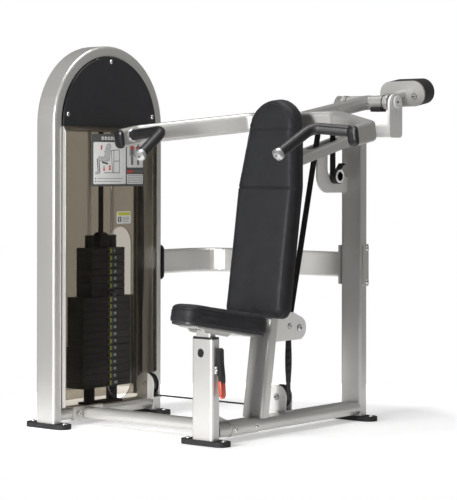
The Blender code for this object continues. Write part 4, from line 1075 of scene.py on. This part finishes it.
def build_seat_trim():
    """Collar and hole of the outer post, the inner post's holes, lever grip and pivot bolts."""
    collar = Piece("post_collar")
    outer = rounded_rect(TUBE_W - 0.001, TUBE_T - 0.001, 0.011, 6)
    rim = rounded_rect(TUBE_W - 0.006, TUBE_T - 0.006, 0.009, 6)
    inner = rounded_rect(0.0692, 0.0372, 0.004, 6)
    levels = [(0.4042, outer), (0.4105, outer), (0.4125, rim), (0.4125, inner), (0.4042, inner)]
    rings = [[at(x, y + POST_Y, z) for x, y in outline] for z, outline in levels]
    collar.rings(rings, BLACK_PLASTIC, False, True)
    collar.make("frame", "black_plastic")
    hole = Piece("post_hole")
    place = axes(at(-0.006, 0.0004, 0.351), (1, 0, 0), (0, 0, 1))
    hole.prism(rounded_rect(0.031, 0.035, 0.0154, 8), place, 0.0014, ZINC)
    # near-black disc inside the zinc ring: painted shade of the hole
    hole.prism(rounded_rect(0.027, 0.031, 0.0134, 8), place, 0.0018, PAINTED_SHADE)
    hole.make("frame", "black_plastic")
    dots = Piece("post_perforations")
    for i in range(9):
        place = axes(at(0.0340, POST_Y, 0.150 + i * 0.032), (0, 1, 0), (0, 0, 1))
        # near-black discs: painted shade inside the inner post's holes
        dots.prism(arc((0, 0), 0.0055, 0, 340, 17), place, 0.0003, PAINTED_SHADE)
    dots.make("seat", "black_plastic", 20)
    grip = Piece("lever_grip")
    rings = []
    for z, x, w, d in ((0.2470, 0.0720, 0.0150, 0.0240), (0.2440, 0.0725, 0.0205, 0.0275),
                       (0.225, 0.0745, 0.0205, 0.0280), (0.200, 0.0768, 0.0180, 0.0265),
                       (0.186, 0.0780, 0.0140, 0.0230), (0.181, 0.0785, 0.0080, 0.0160)):
        section = rounded_rect(w, d, min(w, d) * 0.42, 5)
        rings.append([at(x + px, 0.0295 + py, z) for px, py in section])
    grip.rings(rings, RED)
    grip.make("lever", None)
    pivot = Piece("lever_pivot_bolt")
    for y, side in ((0.0134, -1), (0.0456, 1)):
        pivot.bolt(at(0.060, y, 0.288), (0, side, 0), 0.0050)
    pivot.make("frame", "chrome")


def build_belts():
    """Fixed belt strip over the stack, in place of the CAD belt; the real run shortens as the stack
    rises, this strip does not.
    """
    strap = Piece("stack_belt_run")
    section = ((0.0133, 0.0014), (-0.0133, 0.0014), (-0.0133, -0.0014), (0.0133, -0.0014))
    steps = 12
    rings = []
    for i in range(steps + 1):
        z = BELT_LOW + (BELT_TOP - BELT_LOW) * i / steps
        rings.append([at(TOWER_X + x, TOWER_Y + y, z) for x, y in section])
    strap.rings(rings, BELT)
    obj = strap.make("frame", "belt")
    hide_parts("stack_belt")
    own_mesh(obj)


# ---- set, light and camera
def build_set():
    """Round white floor under the machine."""
    floor = Piece("floor")
    rim = [(math.cos(a * math.pi / 32) * FLOOR_RADIUS, math.sin(a * math.pi / 32) * FLOOR_RADIUS)
           for a in range(64)]
    floor.rings([[Vector((x, y, z)) for x, y in rim] for z in (-0.02, -0.0004)], floor_material())
    obj = floor.make(None, None)


def floor_material():
    """White floor that brightens to pure white toward its rim."""
    m = Nodes("studio_floor", (0.90, 0.90, 0.90), 0.7)
    m.vary(m.noise(2, 2), 0.3, 0.7, 0.99, 1.01)
    m.rough(m.noise(5, 2), 0.65, 0.75)
    m.set(Emission_Strength=1.0)
    ball = m.add("ShaderNodeTexGradient")
    ball.gradient_type = "SPHERICAL"
    mapping = m.add("ShaderNodeMapping")
    mapping.inputs["Scale"].default_value = [FLOOR_GLOW_SCALE] * 3
    m.link(m.coords, mapping.inputs["Vector"])
    m.link(mapping.outputs["Vector"], ball.inputs["Vector"])
    glow = m.ramp(ball.outputs["Fac"], 0.05, 0.50, (1.20, 1.20, 1.20, 1), (0.30, 0.30, 0.30, 1))
    m.link(glow, m.shader.inputs["Emission Color"])
    return m.material


def area_light(name, place, target, size, power):
    data = bpy.data.lights.new(name, "AREA")
    data.shape = "RECTANGLE"
    data.size = size[0]
    data.size_y = size[1]
    data.energy = power
    obj = bpy.data.objects.new(name, data)
    SCENE.collection.objects.link(obj)
    obj.location = place
    obj.rotation_euler = (Vector(target) - Vector(place)).to_track_quat("-Z", "Y").to_euler()


def build_light():
    """White where the camera sees past the machine, a dim side-lit ramp for everything else."""
    world = bpy.data.worlds.new("studio")
    world.use_nodes = True
    SCENE.world = world
    tree = world.node_tree
    add = tree.nodes.new
    link = tree.links.new
    back = tree.nodes["Background"]
    coords = add("ShaderNodeTexCoord")
    turn = add("ShaderNodeMapping")
    turn.inputs["Rotation"].default_value = (0.0, math.radians(-20), math.radians(-35))
    link(coords.outputs["Generated"], turn.inputs["Vector"])
    split = add("ShaderNodeSeparateXYZ")
    link(turn.outputs["Vector"], split.inputs["Vector"])
    spread = add("ShaderNodeMapRange")
    spread.inputs["From Min"].default_value = -1.0
    spread.inputs["From Max"].default_value = 1.0
    link(split.outputs["X"], spread.inputs["Value"])
    ramp = add("ShaderNodeValToRGB")
    link(spread.outputs["Result"], ramp.inputs["Fac"])
    ramp.color_ramp.elements[0].position = 0.25
    ramp.color_ramp.elements[0].color = (0.035, 0.035, 0.035, 1)
    ramp.color_ramp.elements[1].position = 0.80
    ramp.color_ramp.elements[1].color = (0.31, 0.307, 0.30, 1)
    path = add("ShaderNodeLightPath")
    mix = add("ShaderNodeMix")
    mix.data_type = "RGBA"
    seen = add("ShaderNodeMath")
    seen.operation = "MAXIMUM"
    link(path.outputs["Is Camera Ray"], seen.inputs[0])
    link(path.outputs["Is Transmission Ray"], seen.inputs[1])
    link(seen.outputs["Value"], mix.inputs["Factor"])
    link(ramp.outputs["Color"], mix.inputs["A"])
    mix.inputs["B"].default_value = (1.0, 1.0, 1.0, 1)
    link(mix.outputs["Result"], back.inputs["Color"])
    back.inputs["Strength"].default_value = 1.0
    area_light("key_front", (0.0, -6.0, 1.5), (-0.1, 0, 0.8), (1.5, 2.6), 500)
    area_light("top", (0.0, -0.4, 4.4), (0, 0, 0.8), (2.6, 2.6), 110)


def build_camera():
    """Camera with a level axis and a shifted frame, so uprights stay parallel."""
    data = bpy.data.cameras.new("camera")
    data.sensor_width = 36.0
    data.lens = CAMERA_LENS
    data.shift_y = CAMERA_SHIFT_Y
    data.clip_start = 0.1
    data.clip_end = 100.0
    obj = bpy.data.objects.new("camera", data)
    SCENE.collection.objects.link(obj)
    obj.location = CAMERA_PLACE
    look = Vector((-math.sin(CAMERA_AZIMUTH), math.cos(CAMERA_AZIMUTH), 0.0))
    turn = look.to_track_quat("-Z", "Y").to_matrix()
    roll = Matrix.Rotation(CAMERA_ROLL, 3, "Z")
    obj.rotation_euler = (turn @ roll).to_euler()
    SCENE.camera = obj


def main():
    SCENE.view_settings.view_transform = "Standard"
    build_camera()
    build_light()
    build_set()
    dress_cad()
    build_seat_pad()
    build_back_pad()
    build_tower()
    build_placard()
    build_sticker()
    build_brace_flange()
    build_feet()
    build_stack_labels()
    build_grips()
    build_arm_trim()
    build_frame_bolts()
    build_clamp_and_stop()
    build_anchor_trim()
    build_seat_trim()
    build_belts()


main()
